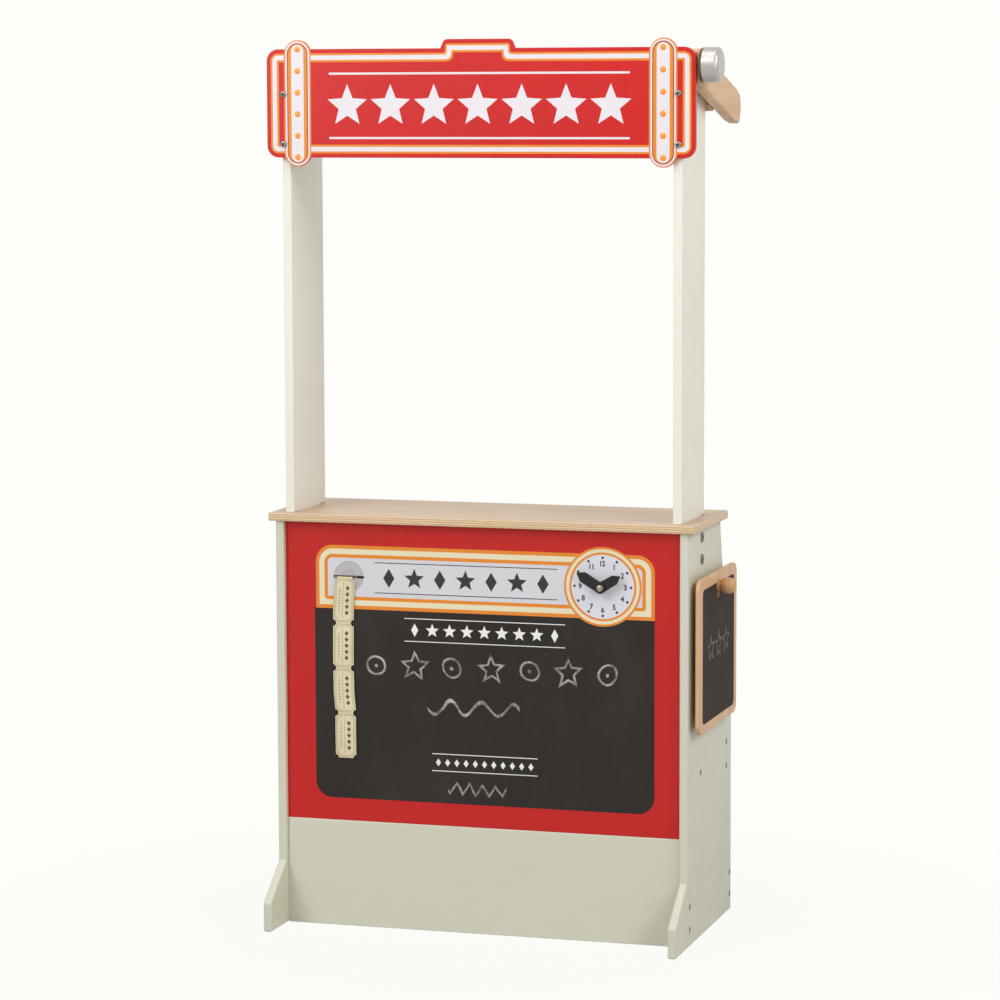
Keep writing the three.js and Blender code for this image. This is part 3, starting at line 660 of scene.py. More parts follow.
@dataclass(frozen=True)
class FrontPrint:
    """The front board's printed face: heading plate, clock dial, ticket disc and chalk field on red."""

    tone: Colour = pigment(197, 23, 19)
    shade: Colour = pigment(188, 22, 18)
    roughness: float = 0.42
    stipple: float = 0.03
    specular: float = 0.38
    front_plane: float = -3.6
    # Chalk field, which ends upwards at the heading plate.
    field_middle: Pair = (2.7, 336.5)
    field_half: Pair = (237.7, 160.0)
    field_corner: float = 23.0
    field_roughness: float = 0.78
    plate_bottom: float = 436.5
    # Thin white rules as (left, right, height), and the rows of small ornaments between them.
    rules: tuple[Point, ...] = (
        (-107.2, 117.5, 426.5), (-107.2, 117.5, 395.6), (-69.2, 79.0, 243.8), (-69.2, 79.0, 220.6),
    )
    rule_half_height: float = 0.55
    caption_centre: Pair = (5.2, 411.0)
    caption_pitch: float = 24.4
    caption_star: float = 9.6
    caption_stars: int = 7
    caption_lozenge_reach: float = 98.0
    bead_centre: Pair = (4.9, 232.2)
    bead_pitch: float = 13.0
    bead_reach: float = 70.2
    # Heading plate, its lines from the edge inwards, and its ornaments.
    plate_middle: Pair = (3.75, 449.75)
    plate_half: Pair = (236.75, 73.25)
    plate_corner: float = 24.0
    line_depths: tuple[float, float, float, float] = (0.0, 4.9, 12.2, 17.0)
    line_corner: float = 4.6
    heading_centre: Pair = (-21.0, 480.0)
    heading_rules: Pair = (500.6, 459.7)
    heading_rule_half: Pair = (128.2, 0.6)
    heading_pitch: float = 36.0
    heading_cells: int = 7
    heading_star: float = 14.5
    star_waist: float = 0.44
    # Disc behind the tickets.
    disc_centre: Pair = (-186.0, 480.6)
    disc_radius: float = 21.2
    tick_count: int = 30
    tick_reach: float = 15.4
    rim_radii: Pair = (19.6, 11.4)
    # Clock dial, its rings from the outside inwards, and its hour marks.
    dial_radii: tuple[float, float, float, float] = (53.2, 50.3, 45.9, 43.0)
    mark_reach: float = 38.8
    mark_half: float = 1.6

    def captions(self, page: Drawing) -> Wire:
        """The white rules and ornaments on the chalk field.

        Args:
            page: The stand's X and Z.

        Returns:
            1 on the ornaments and 0 beside them.
        """
        caption, bead = page.at(*self.caption_centre), page.at(*self.bead_centre)
        stars = caption.row(self.caption_pitch).star(self.caption_star, self.star_waist).below(0.0)
        marks = stars * abs(caption.across).below(self.caption_stars / 2 * self.caption_pitch + 0.1)
        ends = Drawing(page.paints, abs(caption.across) - self.caption_lozenge_reach, caption.up)
        marks = marks.most(ends.lozenge(5.0, 9.0).below(0.0))
        beads = bead.row(self.bead_pitch).lozenge(3.6, 5.2).below(0.0)
        marks = marks.most(beads * abs(bead.across).below(self.bead_reach))
        for left, right, height in self.rules:
            rule = page.at((left + right) / 2, height).box((right - left) / 2, self.rule_half_height)
            marks = marks.most(rule.below(0.0))
        return marks

    def heading(self, page: Drawing, ink: Ink) -> None:
        """Lays the heading plate: orange and cream lines, rules, stars and lozenges.

        Args:
            page: The stand's X and Z.
            ink: The print so far.
        """
        plate = page.at(*self.plate_middle).box(*self.plate_half, self.plate_corner)
        above = page.up - self.plate_bottom
        depth = (-plate).least(above)
        outer, cream, inner, field = self.line_depths
        ink.bands(depth, [(outer, PALETTE.orange), (cream, PALETTE.cream)])
        # Only the inner orange line has rounded lower corners.
        eased = inner + self.line_corner
        rounded = eased - (plate + eased).most(0.0).hypot((eased - above).most(0.0))
        ink.bands(rounded, [(inner, PALETTE.orange)])
        ink.bands(depth, [(field, PALETTE.field)])
        heading = page.at(*self.heading_centre)
        for height in self.heading_rules:
            rule = Drawing(page.paints, heading.across, page.up - height).box(*self.heading_rule_half)
            ink.lay(rule.below(0.0), PALETTE.dark)
        odd, cell = heading.odd(self.heading_pitch), heading.row(self.heading_pitch)
        shapes = cell.star(self.heading_star, self.star_waist) * (1.0 - odd) + cell.lozenge(8.0, 13.0) * odd
        row = abs(heading.across).below(self.heading_cells / 2 * self.heading_pitch)
        ink.lay(shapes.below(0.0) * row, PALETTE.dark)

    def ticket_disc(self, page: Drawing, ink: Ink) -> None:
        """Lays the disc behind the tickets: a ring of ticks between two thin rims, and a band of painted
        shadow round the slot.

        Args:
            page: The stand's X and Z.
            ink: The print so far.
        """
        disc = page.at(*self.disc_centre)
        ink.lay(disc.disc(self.disc_radius).below(0.0), PALETTE.disc)
        ticks = disc.ring(self.tick_count, self.tick_reach).box(2.6, 0.55).below(0.0) * disc.up.above(-2.0)
        outer, inner = (abs(disc.disc(radius)) - 0.3 for radius in self.rim_radii)
        ink.lay(ticks.most(outer.least(inner).below(0.0)) * 0.7, PALETTE.tick)
        slot_x, slot_z = LAYOUT.ticket_slot
        # A dark band round the slot is painted shadow.
        ink.lay(page.at(slot_x, slot_z + 0.2).box(21.6, 1.7).below(0.0), PALETTE.slot_line)

    def dial(self, page: Drawing, ink: Ink) -> Wire:
        """Lays the clock's dial.

        Args:
            page: The stand's X and Z.
            ink: The print so far.

        Returns:
            1 on the dial and 0 outside it.
        """
        clock = page.at(*LAYOUT.clock)
        reach = clock.disc(0.0)
        rings = (PALETTE.orange, PALETTE.cream, PALETTE.orange, PALETTE.dial)
        for radius, colour in zip(self.dial_radii, rings):
            ink.lay(reach.below(radius), colour)
        marks = clock.ring(12, self.mark_reach).box(self.mark_half, self.mark_half)
        ink.lay(marks.below(0.0), PALETTE.mark)
        return reach.below(self.dial_radii[0])

    def material(self) -> Material:
        """The finished material."""
        paints = Paintbox("front_print")
        x, y, z = paints.split(paints.place)
        base = SatinPaint("", self.tone, self.shade, self.roughness, self.stipple)
        ground, roughness, normal = base.ground(paints)
        ink = Ink(paints, ground)
        page = Drawing(paints, x, z)
        field = page.at(*self.field_middle).box(*self.field_half, self.field_corner)
        chalk_area = field.below(0.0) * z.below(self.plate_bottom)
        haze = paints.noise(9.0, 4.0, 0.65, stretch=(1.0, 1.0, 0.6), shift=9.0)
        dust = paints.noise(320.0, 3.0, 0.7, shift=13.0)
        slate = paints.mix(paints.spread(haze, 0.45, 0.8, 0.0, 0.16), PALETTE.slate, PALETTE.haze)
        slate = paints.mix(paints.spread(dust, 0.62, 0.9, 0.0, 0.14), slate, PALETTE.dust)
        ink.lay(chalk_area, slate)
        ink.lay(ChalkDrawing().mask(page) * chalk_area, PALETTE.chalk)
        ink.lay(self.captions(page), PALETTE.white)
        self.heading(page, ink)
        self.ticket_disc(page, ink)
        dial = self.dial(page, ink)
        front = y.below(self.front_plane)
        back, _, _ = SatinPaint("", pigment(222, 220, 206), pigment(214, 212, 198)).ground(paints)
        colour = paints.mix(front, back, ink.colour)
        # The slot's walls and the blind groove's floor are painted dark as shade.
        slot = page.at(*LAYOUT.ticket_slot).box(22.0, 0.9).below(0.0) * y.below(-0.8)
        colour = paints.mix(slot, colour, PALETTE.slot_wall)
        matt = chalk_area * front * (1.0 - dial)
        rough = roughness * (1.0 - matt) + matt * self.field_roughness
        tooth = paints.bump(dust * matt, 0.06, 0.6, normal)
        return paints.close(colour, rough, tooth, self.specular)


class Grain(Enum):
    """Direction of a wood grain, as the stretch that draws it out."""

    ALONG_X = (0.045, 1.0, 1.0)
    ALONG_Y = (1.0, 0.045, 1.0)
    ALONG_Z = (1.0, 1.0, 0.045)


@dataclass(frozen=True)
class PaleWood:
    """Clear-lacquered pale wood with streaks, pores and slow tone changes."""

    name: str
    grain: Grain
    light: Colour = pigment(224, 193, 158)
    middle: Colour = pigment(208, 172, 134)
    dark: Colour = pigment(186, 146, 106)
    roughness: float = 0.42
    specular: float = 0.4

    def ground(self, paints: Paintbox) -> tuple[Wire, Wire, Wire]:
        """Colour, roughness and normal of the wood.

        Args:
            paints: The material that is being built.

        Returns:
            Colour, roughness and normal.
        """
        stretch = self.grain.value
        broad = paints.noise(26.0, 3.0, 0.5, stretch, 1.0, 0.6)
        streak = paints.noise(150.0, 4.0, 0.62, stretch, 2.0, 0.3)
        pores = paints.noise(900.0, 2.0, 0.6, stretch, 3.0)
        colour = paints.mix(paints.spread(broad, 0.34, 0.66), self.light, self.middle)
        colour = paints.mix(paints.spread(streak, 0.5, 0.78, 0.0, 0.55), colour, self.dark)
        colour = paints.mix(paints.spread(pores, 0.66, 0.82, 0.0, 0.4), colour, self.dark)
        roughness = paints.spread(streak, 0.3, 0.7, self.roughness - 0.04, self.roughness + 0.08)
        height = streak * 0.5 + pores * 0.5
        return colour, roughness, paints.bump(height, 0.05, 0.5)

    def material(self) -> Material:
        """The finished material."""
        paints = Paintbox(self.name)
        colour, roughness, normal = self.ground(paints)
        return paints.close(colour, roughness, normal, self.specular)


@dataclass(frozen=True)
class CounterPlywood:
    """Lacquered plywood top: face veneer with grain along the counter, and layered edges."""

    plies: int = 7
    wander: float = 0.5
    glue_line: float = 0.1
    edge_start: float = 0.7
    specular: float = 0.4

    def material(self) -> Material:
        """The finished material."""
        paints = Paintbox("counter_plywood")
        _, _, z = paints.split(paints.place)
        tones = (pigment(206, 181, 154), pigment(198, 171, 143), pigment(177, 146, 117))
        colour, roughness, normal = PaleWood("", Grain.ALONG_X, *tones, 0.4).ground(paints)
        bottom, top = LAYOUT.counter_bottom, LAYOUT.counter_top
        wander = paints.noise(14.0, 2.0, 0.5, shift=6.0) - 0.5
        layer = (z - bottom + wander * self.wander) / ((top - bottom) / self.plies)
        odd = paints.maths("FLOORED_MODULO", paints.maths("FLOOR", layer), 2.0)
        fibre = paints.spread(paints.noise(420.0, 3.0, 0.6, (0.12, 0.12, 1.0), 8.0), 0.3, 0.7)
        pale = paints.mix(fibre, pigment(232, 209, 174), pigment(224, 197, 159))
        deep = paints.mix(fibre, pigment(210, 177, 138), pigment(196, 159, 119))
        glue = paints.maths("FRACT", layer).below(self.glue_line, 0.08)
        ply = paints.mix(glue * 0.4, paints.mix(odd, pale, deep), pigment(150, 112, 78))
        on_edge = z.below(top - self.edge_start) * z.above(bottom + self.edge_start)
        return paints.close(paints.mix(on_edge, colour, ply), roughness, normal, self.specular)


@dataclass(frozen=True)
class ChalkPanel:
    """The small board: pale wood with a matt black field in a rounded frame and faint chalk marks."""

    middle: Pair = (100.5, 387.2)
    half: Pair = (90.5, 90.2)
    corner: float = 9.0
    front_plane: float = 301.4
    field_roughness: float = 0.8
    star_height: float = 6.0
    star_pitch: float = 42.0
    star_radius: float = 17.0
    star_waist: float = 0.45
    star_count: int = 3
    specular: float = 0.28

    def material(self) -> Material:
        """The finished material."""
        paints = Paintbox("small_chalkboard")
        x, y, z = paints.split(paints.place)
        tones = (pigment(222, 184, 147), pigment(212, 170, 131), pigment(191, 145, 104))
        ground, roughness, normal = PaleWood("", Grain.ALONG_Z, *tones).ground(paints)
        page = Drawing(paints, y, z).at(*self.middle)
        field = page.box(*self.half, self.corner).below(0.0) * x.above(self.front_plane)
        haze = paints.noise(12.0, 4.0, 0.65, shift=9.0)
        haze = paints.spread(haze, 0.45, 0.8, 0.0, 0.12)
        slate = paints.mix(haze, pigment(39, 29, 25), pigment(98, 87, 81))
        sway = (paints.noise(30.0, 1.0, 0.5, shift=7.0) - 0.5) * 9.0
        marks = Drawing(paints, page.across + sway, page.up + sway - self.star_height)
        stars = abs(marks.row(self.star_pitch).star(self.star_radius, self.star_waist)) - 0.9
        outline = stars.most(abs(marks.across) - self.star_count / 2 * self.star_pitch)
        grit = paints.noise(700.0, 3.0, 0.7, shift=3.0)
        strokes = outline.below(0.3, 1.1) * paints.spread(grit, 0.4, 0.62)
        slate = paints.mix(strokes * 0.85, slate, pigment(178, 168, 164))
        rough = roughness * (1.0 - field) + field * self.field_roughness
        return paints.close(paints.mix(field, ground, slate), rough, normal, self.specular)


@dataclass(frozen=True)
class TicketCard:
    """Printed card: cream ground, double olive border with cut corners and small ornaments."""

    length: float = 61.6
    width: float = 29.3
    # Borders as (inset, radius of the cut corners, half width of the line).
    borders: tuple[Point, ...] = ((1.5, 6.0, 0.3), (3.4, 8.2, 0.2))
    rule_at: float = -1.6
    rule_inset: float = 5.6
    lozenges_at: float = 4.6
    lozenge_pitch: float = 8.4
    lozenge_reach: float = 21.2
    dots_at: float = -6.6
    dot_pitch: float = 4.2
    dot_reach: float = 17.0
    roughness: float = 0.72
    specular: float = 0.3

    def material(self) -> Material:
        """The finished material."""
        paints = Paintbox("ticket_card")
        across, along, _ = paints.split(paints.node("UVMap", {"uv_map": "card"}).outputs[0])
        fibre = paints.noise(500.0, 4.0, 0.6)
        cloud = paints.noise(30.0, 2.0, 0.5, shift=2.0)
        tone = paints.spread(fibre * 0.5 + cloud * 0.5, 0.38, 0.62)
        ink = Ink(paints, paints.mix(tone, pigment(229, 218, 186), pigment(219, 206, 170)))
        olive = pigment(128, 116, 72)
        half_width, half_length = self.width / 2, self.length / 2
        card = Drawing(paints, across, along - half_length).column(self.length)
        corner = Drawing(paints, abs(card.across) - half_width, abs(card.up) - half_length).disc(0.0)
        for inset, cut, line in self.borders:
            border = card.box(half_width - inset, half_length - inset).most(cut - corner)
            ink.lay((abs(border) - line).below(0.0, 0.15), olive)
        rule = (abs(card.across - self.rule_at) - 0.2).below(0.0, 0.15)
        ink.lay(rule * abs(card.up).below(half_length - self.rule_inset), olive)
        lozenges = card.at(self.lozenges_at, 0.0).column(self.lozenge_pitch).lozenge(2.9, 3.4)
        ink.lay(lozenges.below(0.0, 0.15) * abs(card.up).below(self.lozenge_reach), pigment(96, 86, 52))
        dots = card.at(self.dots_at, 0.0).column(self.dot_pitch).disc(0.95).below(0.0, 0.15)
        ink.lay(dots * abs(card.up).below(self.dot_reach), olive)
        tooth = paints.bump(fibre, 0.03, 0.4)
        return paints.close(ink.colour, self.roughness, tooth, self.specular)


@dataclass(frozen=True)
class Metal:
    """Metal with fine brushing, patchy tone, painted shade in marked recesses and its own roughness."""

    name: str
    tone: Colour
    shade: Colour
    roughness: float
    metallic: float = 1.0
    relief: float = 0.01

    def material(self) -> Material:
        """The finished material."""
        paints = Paintbox(self.name)
        cloud = paints.noise(240.0, 3.0, 0.6)
        fine = paints.noise(2600.0, 2.0, 0.6, shift=3.0)
        colour = paints.mix(paints.spread(cloud, 0.35, 0.7), self.tone, self.shade)
        # Faces marked as recess get a near-black colour as painted shade.
        recess = Wire(paints, paints.node("Attribute", {"attribute_name": "recess"}).outputs["Fac"])
        colour = paints.mix(recess * 0.92, colour, pigment(30, 26, 24))
        roughness = paints.spread(fine, 0.3, 0.7, self.roughness * 0.8, self.roughness * 1.3)
        return paints.close(colour, roughness, paints.bump(fine, self.relief, 0.5), metallic=self.metallic)


@dataclass(frozen=True)
class Plain:
    """Moulded or stained surface with slow tone changes and a fine tooth."""

    name: str
    tone: Colour
    shade: Colour
    roughness: float
    tooth: float = 0.03
    specular: float = 0.45

    def material(self) -> Material:
        """The finished material."""
        paints = Paintbox(self.name)
        cloud = paints.noise(60.0, 3.0, 0.6)
        fine = paints.noise(1500.0, 3.0, 0.6, shift=3.0)
        colour = paints.mix(paints.spread(cloud, 0.35, 0.65), self.tone, self.shade)
        roughness = paints.spread(fine, 0.3, 0.7, self.roughness - 0.05, self.roughness + 0.08)
        return paints.close(colour, roughness, paints.bump(fine, self.tooth, 0.5), self.specular)


# ---- mesh work


class Face(Enum):
    """Drawing plane of a board's outline, as the axes of its two coordinates and of its thickness."""

    SIDE = ((0, 1, 0), (0, 0, 1), (1, 0, 0))
    FRONT = ((1, 0, 0), (0, 0, 1), (0, 1, 0))
    FLAT = ((1, 0, 0), (0, 1, 0), (0, 0, 1))

    @property
    def matrix(self) -> Matrix:
        """Turns drawing coordinates into the stand's."""
        across, up, out = (Vector(axis) for axis in self.value)
        return Matrix((across, up, out)).transposed().to_4x4()


def link(made: bpy.types.Object) -> bpy.types.Object:
    """Puts an object into the scene."""
    bpy.context.scene.collection.objects.link(made)
    return made


def settle(shape: BMesh, name: str) -> Mesh:
    """Ends a bmesh as it is.

    Args:
        shape: The shape, used up.
        name: Name of the mesh.

    Returns:
        The mesh.
    """
    mesh = bpy.data.meshes.new(name)
    shape.to_mesh(mesh)
    shape.free()
    return mesh


def mesh_from(shape: BMesh, name: str) -> Mesh:
    """Ends a bmesh in metres, faces outwards.

    Args:
        shape: The shape in millimetres, used up.
        name: Name of the mesh.

    Returns:
        The mesh.
    """
    bmesh.ops.remove_doubles(shape, verts=shape.verts, dist=1e-4)
    bmesh.ops.recalc_face_normals(shape, faces=shape.faces)
    bmesh.ops.scale(shape, vec=Vector((MM, MM, MM)), verts=shape.verts)
    return settle(shape, name)


def soften(shape: BMesh, parts: Sequence, affect: str, offset: float, segments: int) -> None:
    """Rounds corners or edges with a bevel.

    Args:
        shape: The shape.
        parts: Its vertices or edges.
        affect: VERTICES or EDGES.
        offset: Reach of the bevel.
        segments: Segments of the round.
    """
    rest = {"offset_type": "OFFSET", "profile": 0.5, "material": -1}
    bmesh.ops.bevel(shape, geom=list(parts), affect=affect, offset=offset, segments=segments, **rest)


def board(
    outline: Sequence[Corner], face: Face, start: float, thickness: float, ease: float = 1.2, steps: int = 10
) -> BMesh:
    """A flat board grown from its outline, with eased edges.

    Args:
        outline: Corners (across, up, radius) in order.
        face: Drawing plane.
        start: Where the thickness begins.
        thickness: Thickness of the board.
        ease: Radius of the eased edges, 0 for none.
        steps: Segments of a rounded corner.

    Returns:
        The board in millimetres.
    """
    shape = bmesh.new()
    verts = [shape.verts.new((u, v, 0.0)) for u, v, _ in outline]
    shape.faces.new(verts)
    count = len(outline)
    for index, (u, v, radius) in enumerate(outline):
        if not radius:
            continue
        corner = Vector((u, v))
        before = (Vector(outline[index - 1][:2]) - corner).normalized()
        after = (Vector(outline[(index + 1) % count][:2]) - corner).normalized()
        reach = radius / math.tan(math.acos(max(-1.0, min(1.0, before.dot(after)))) / 2)
        soften(shape, [verts[index]], "VERTICES", reach, steps)
    grown = bmesh.ops.extrude_face_region(shape, geom=list(shape.faces))
    moved = [part for part in grown["geom"] if isinstance(part, bmesh.types.BMVert)]
    bmesh.ops.translate(shape, vec=Vector((0.0, 0.0, thickness)), verts=moved)
    bmesh.ops.recalc_face_normals(shape, faces=shape.faces)
    if ease:
        rims = [edge for edge in shape.edges if abs(edge.verts[0].co.z - edge.verts[1].co.z) < 1e-6]
        soften(shape, rims, "EDGES", ease, 3 if ease < 3 else 6)
    bmesh.ops.translate(shape, vec=Vector((0.0, 0.0, start)), verts=shape.verts)
    bmesh.ops.transform(shape, matrix=face.matrix, verts=shape.verts)
    return shape


def rectangle(left: float, bottom: float, right: float, top: float, radius: float = 0.0) -> list[Corner]:
    """Corners of a rectangle with one corner radius."""
    return [(left, bottom, radius), (right, bottom, radius), (right, top, radius), (left, top, radius)]


def turned(profile: Profile, direction: Vector, at: Sequence[float], steps: int = 48) -> BMesh:
    """A turned piece.

    Args:
        profile: (radius, distance) pairs along the direction.
        direction: Axis of the piece.
        at: Point from which the distances count.
        steps: Segments of a full turn.

    Returns:
        The piece in millimetres.
    """
    shape = bmesh.new()
    verts = [shape.verts.new((radius, 0.0, distance)) for radius, distance in profile]
    edges = [shape.edges.new(pair) for pair in zip(verts, verts[1:])]
    axle = {"cent": (0, 0, 0), "axis": (0, 0, 1), "angle": 2 * math.pi}
    bmesh.ops.spin(shape, geom=[*verts, *edges], steps=steps, use_merge=True, use_duplicate=False, **axle)
    bmesh.ops.remove_doubles(shape, verts=shape.verts, dist=1e-4)
    bmesh.ops.recalc_face_normals(shape, faces=shape.faces)
    aim = UP.rotation_difference(direction.normalized()).to_matrix().to_4x4()
    bmesh.ops.transform(shape, matrix=Matrix.Translation(Vector(at)) @ aim, verts=shape.verts)
    return shape


def rounded_profile(profile: Sequence[Corner], steps: int = 5) -> list[Pair]:
    """A profile whose corners are rounded.

    Args:
        profile: (radius, distance, corner radius) in order.
        steps: Segments of a corner.

    Returns:
        (radius, distance) pairs.
    """
    points = [Vector(entry[:2]) for entry in profile]
    made: list[Pair] = []
    for index, (point, entry) in enumerate(zip(points, profile)):
        if not entry[2] or index in (0, len(points) - 1):
            made.append(tuple(point))
            continue
        before = (points[index - 1] - point).normalized()
        after = (points[index + 1] - point).normalized()
        half = math.acos(max(-1.0, min(1.0, before.dot(after)))) / 2
        reach = entry[2] / math.tan(half)
        start, end = point + before * reach, point + after * reach
        centre = point + (before + after).normalized() * (entry[2] / math.sin(half))
        for step in range(steps + 1):
            arm = (start - centre).lerp(end - centre, step / steps)
            made.append(tuple(centre + arm.normalized() * entry[2]))
    return made


def sleeve(bore: float, radius: float, start: float, end: float, ease: float) -> list[Pair]:
    """Profile of a ring with eased outer edges, from start to end along its axis."""
    outside = [(radius, start, ease), (radius, end, ease)]
    return rounded_profile([(bore, start, 0.0), *outside, (bore, end, 0.0), (bore, start, 0.0)])


def carve(mesh: Mesh, cutters: Sequence[BMesh]) -> Mesh:
    """Takes cutters away from a mesh.

    Args:
        mesh: The body, in metres.
        cutters: Closed shapes in millimetres, used up by the cut.

    Returns:
        A new mesh with the cutters taken out.
    """
    tools = bmesh.new()
    for cutter in cutters:
        piece = mesh_from(cutter, "cutter")
        tools.from_mesh(piece)
        bpy.data.meshes.remove(piece)
    tool_mesh = settle(tools, "cutters")
    body = link(bpy.data.objects.new("body", mesh))
    knife = link(bpy.data.objects.new("knife", tool_mesh))
    cut = body.modifiers.new("cut", "BOOLEAN")
    cut.operation, cut.solver, cut.object = "DIFFERENCE", "EXACT", knife
    cut.use_self = True
    bpy.context.view_layer.update()
    made = bpy.data.meshes.new_from_object(body.evaluated_get(bpy.context.evaluated_depsgraph_get()))
    name = mesh.name
    for temporary in (body, knife):
        bpy.data.objects.remove(temporary)
    bpy.data.meshes.remove(mesh)
    bpy.data.meshes.remove(tool_mesh)
    made.name = name
    return made


def rod(
    radius: float, direction: Vector, at: Sequence[float], start: float, end: float, steps: int = 32
) -> BMesh:
    """A plain rod for boring, from start to end along the direction."""
    return turned([(0.0, start), (radius, start), (radius, end), (0.0, end)], direction, at, steps)


class Bench:
    """Turns meshes into finished pieces of the stand."""

    def __init__(self) -> None:
        """Starts with no pieces."""
        self.count = 0

    def piece(
        self,
        name: str,
        mesh: Mesh | BMesh,
        material: Material,
        replaces: Sequence[str] = (),
        slot: str = "",
        body: str = "stand",
        crease: float = 32.0,
    ) -> bpy.types.Object:
        """Adds one piece.

        Args:
            name: Name of the piece.
            mesh: Its mesh in metres, or its bmesh in millimetres.
            material: Its finish.
            replaces: CAD nodes it stands for.
            slot: Material slot; not used.
            body: Body it moves with.
            crease: Angle in degrees above which an edge stays sharp.

        Returns:
            The object.
        """
        if isinstance(mesh, BMesh):
            mesh = mesh_from(mesh, name)
        mesh.name = name
        mesh.materials.clear()
        mesh.materials.append(material)
        for polygon in mesh.polygons:
            polygon.use_smooth = True
        mesh.set_sharp_from_angle(angle=math.radians(crease))
        made = link(bpy.data.objects.new(name, mesh))
        weighted = made.modifiers.new("weighted", "WEIGHTED_NORMAL")
        weighted.keep_sharp = True
        if replaces:
            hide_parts(*replaces)
        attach(made, body)
        self.count += 1
        LOG.info("%s: %d faces", name, len(mesh.polygons))
        return made

    def painted(self, name: str, mesh: Mesh, cream: Material) -> None:
        """Adds a board in the body's paint."""
        self.piece(f"painted_{name}", mesh, cream, [name], "cream_paint")


# ---- fasteners


def mark_recess(mesh: Mesh, profile: Profile, reach: float, floor: float) -> Mesh:
    """Marks the faces inside a head's recess, so that the finish can paint shade into them.

    Args:
        mesh: A fastener drawn along +Z, in metres.
        profile: (radius, distance) pairs of its head before the cut.
        reach: Radius in millimetres that holds the recess.
        floor: Distance in millimetres of the recess's floor.

    Returns:
        The same mesh.
    """
    mark = mesh.attributes.new("recess", "FLOAT", "FACE")
    for polygon in mesh.polygons:
        middle = polygon.center / MM
        radius = math.hypot(middle.x, middle.y)
        skin = profile[0][1]
        for (inner, low), (outer, high) in zip(profile, profile[1:]):
            if inner <= radius <= outer and outer > inner:
                skin = low + (high - low) * (radius - inner) / (outer - inner)
                break
        inside = radius < reach and skin + 0.1 < middle.z < floor + 0.1
        mark.data[polygon.index].value = 1.0 if inside else 0.0
    return mesh


def fastener(profile: Profile, tools: Sequence[BMesh], reach: float, floor: float) -> Mesh:
    """A turned fastener with its recess cut and marked.

    Args:
        profile: (radius, distance) pairs along +Z.
        tools: Shapes that cut the recess.
        reach: Radius that holds the recess.
        floor: Distance of the recess's floor.

    Returns:
        The mesh in metres.
    """
    body = mesh_from(turned(profile, UP, (0, 0, 0)), "fastener")
    return mark_recess(carve(body, tools), profile, reach, floor)


def cross_recess(span: float, depth: float, top: float) -> list[BMesh]:
    """Two tapered blades that cut a cross recess from the top of a head.

    Args:
        span: Width of the cross at the top.
        depth: Depth of the recess.
        top: Distance of the head's top.

    Returns:
        Both blades in millimetres.
    """
    blades = []
    for turn in (20.0, 110.0):
        blade = bmesh.new()
        bmesh.ops.create_cube(blade, size=1.0)
        bmesh.ops.scale(blade, vec=Vector((span, span * 0.25, depth * 2)), verts=blade.verts)
        deep = [vert for vert in blade.verts if vert.co.z > 0]
        bmesh.ops.scale(blade, vec=Vector((0.45, 0.7, 1.0)), verts=deep)
        spin = Matrix.Rotation(math.radians(turn), 3, "Z")
        bmesh.ops.rotate(blade, cent=(0, 0, 0), matrix=spin, verts=blade.verts)
        bmesh.ops.translate(blade, vec=Vector((0.0, 0.0, top)), verts=blade.verts)
        blades.append(blade)
    return blades


@dataclass(frozen=True)
class CrossScrew:
    """A cross-head screw, drawn along +Z with its seat at 0."""

    # Head as (radius, distance) from its top down to the shank.
    head: tuple[Pair, ...]
    recess_span: float
    recess_depth: float = 1.7
    shank: float = 2.0
    point: float = 5.0

    def mesh(self, length: float) -> Mesh:
        """The screw's mesh.

        Args:
            length: Length of the screw.

        Returns:
            The mesh in metres.
        """
        profile = [*self.head, (self.shank, length - self.point), (0.0, length)]
        top = self.head[0][1]
        blades = cross_recess(self.recess_span, self.recess_depth, top)
        return fastener(profile, blades, self.recess_span / 2 + 0.4, self.recess_depth + top)


COUNTERSUNK_HEAD = ((0.0, -0.4), (2.16, -0.36), (3.84, -0.2), (4.8, -0.05), (4.8, 0.25), (2.0, 2.6))
PAN_DOME = ((0.0, -2.7), (1.8, -2.646), (3.06, -2.376), (3.96, -1.782), (4.41, -1.026))
WOOD_SCREW = CrossScrew(COUNTERSUNK_HEAD, 5.6)
PAN_SCREW = CrossScrew((*PAN_DOME, (4.5, -0.3), (2.0, -0.3)), 6.6)


@dataclass(frozen=True)
class JointHead:
    """The low round head with a hex socket that a joint bolt and its sleeve nut share."""

    radius: float = 6.8
    height: float = 1.5
    seat: float = 0.3
    socket: float = 2.3

    def mesh(self, stem: Sequence[Corner], depth: float) -> Mesh:
        """The head with what hangs below it, drawn along +Z with its seat at 0.

        Args:
            stem: (radius, distance, corner radius) of the part below the head.
            depth: Depth of the socket.

        Returns:
            The mesh in metres.
        """
        head = [(0.0, -self.height, 0.0), (self.radius, -self.height, 0.6), (self.radius, -self.seat, 0.2)]
        profile = rounded_profile([*head, (stem[0][0], -self.seat, 0.0), *stem])
        hexagon = rod(self.socket, UP, (0, 0, 0), -self.height - 1.0, depth - self.height, 6)
        return fastener(profile, [hexagon], self.socket + 0.1, depth - self.height)

    def bolt(self, shank: float, radius: float = 3.0) -> Mesh:
        """A bolt with a plain shank."""
        return self.mesh([(radius, shank, 0.5), (0.0, shank, 0.0)], 1.7)

    def nut(self, sleeve: float = 4.3, bore: float = 3.3, length: float = 9.0) -> Mesh:
        """A sleeve nut with a plain bore."""
        return self.mesh([(sleeve, length, 0.3), (bore, length, 0.0), (bore, 0.0, 0.0), (0.0, 0.0, 0.0)], 1.5)


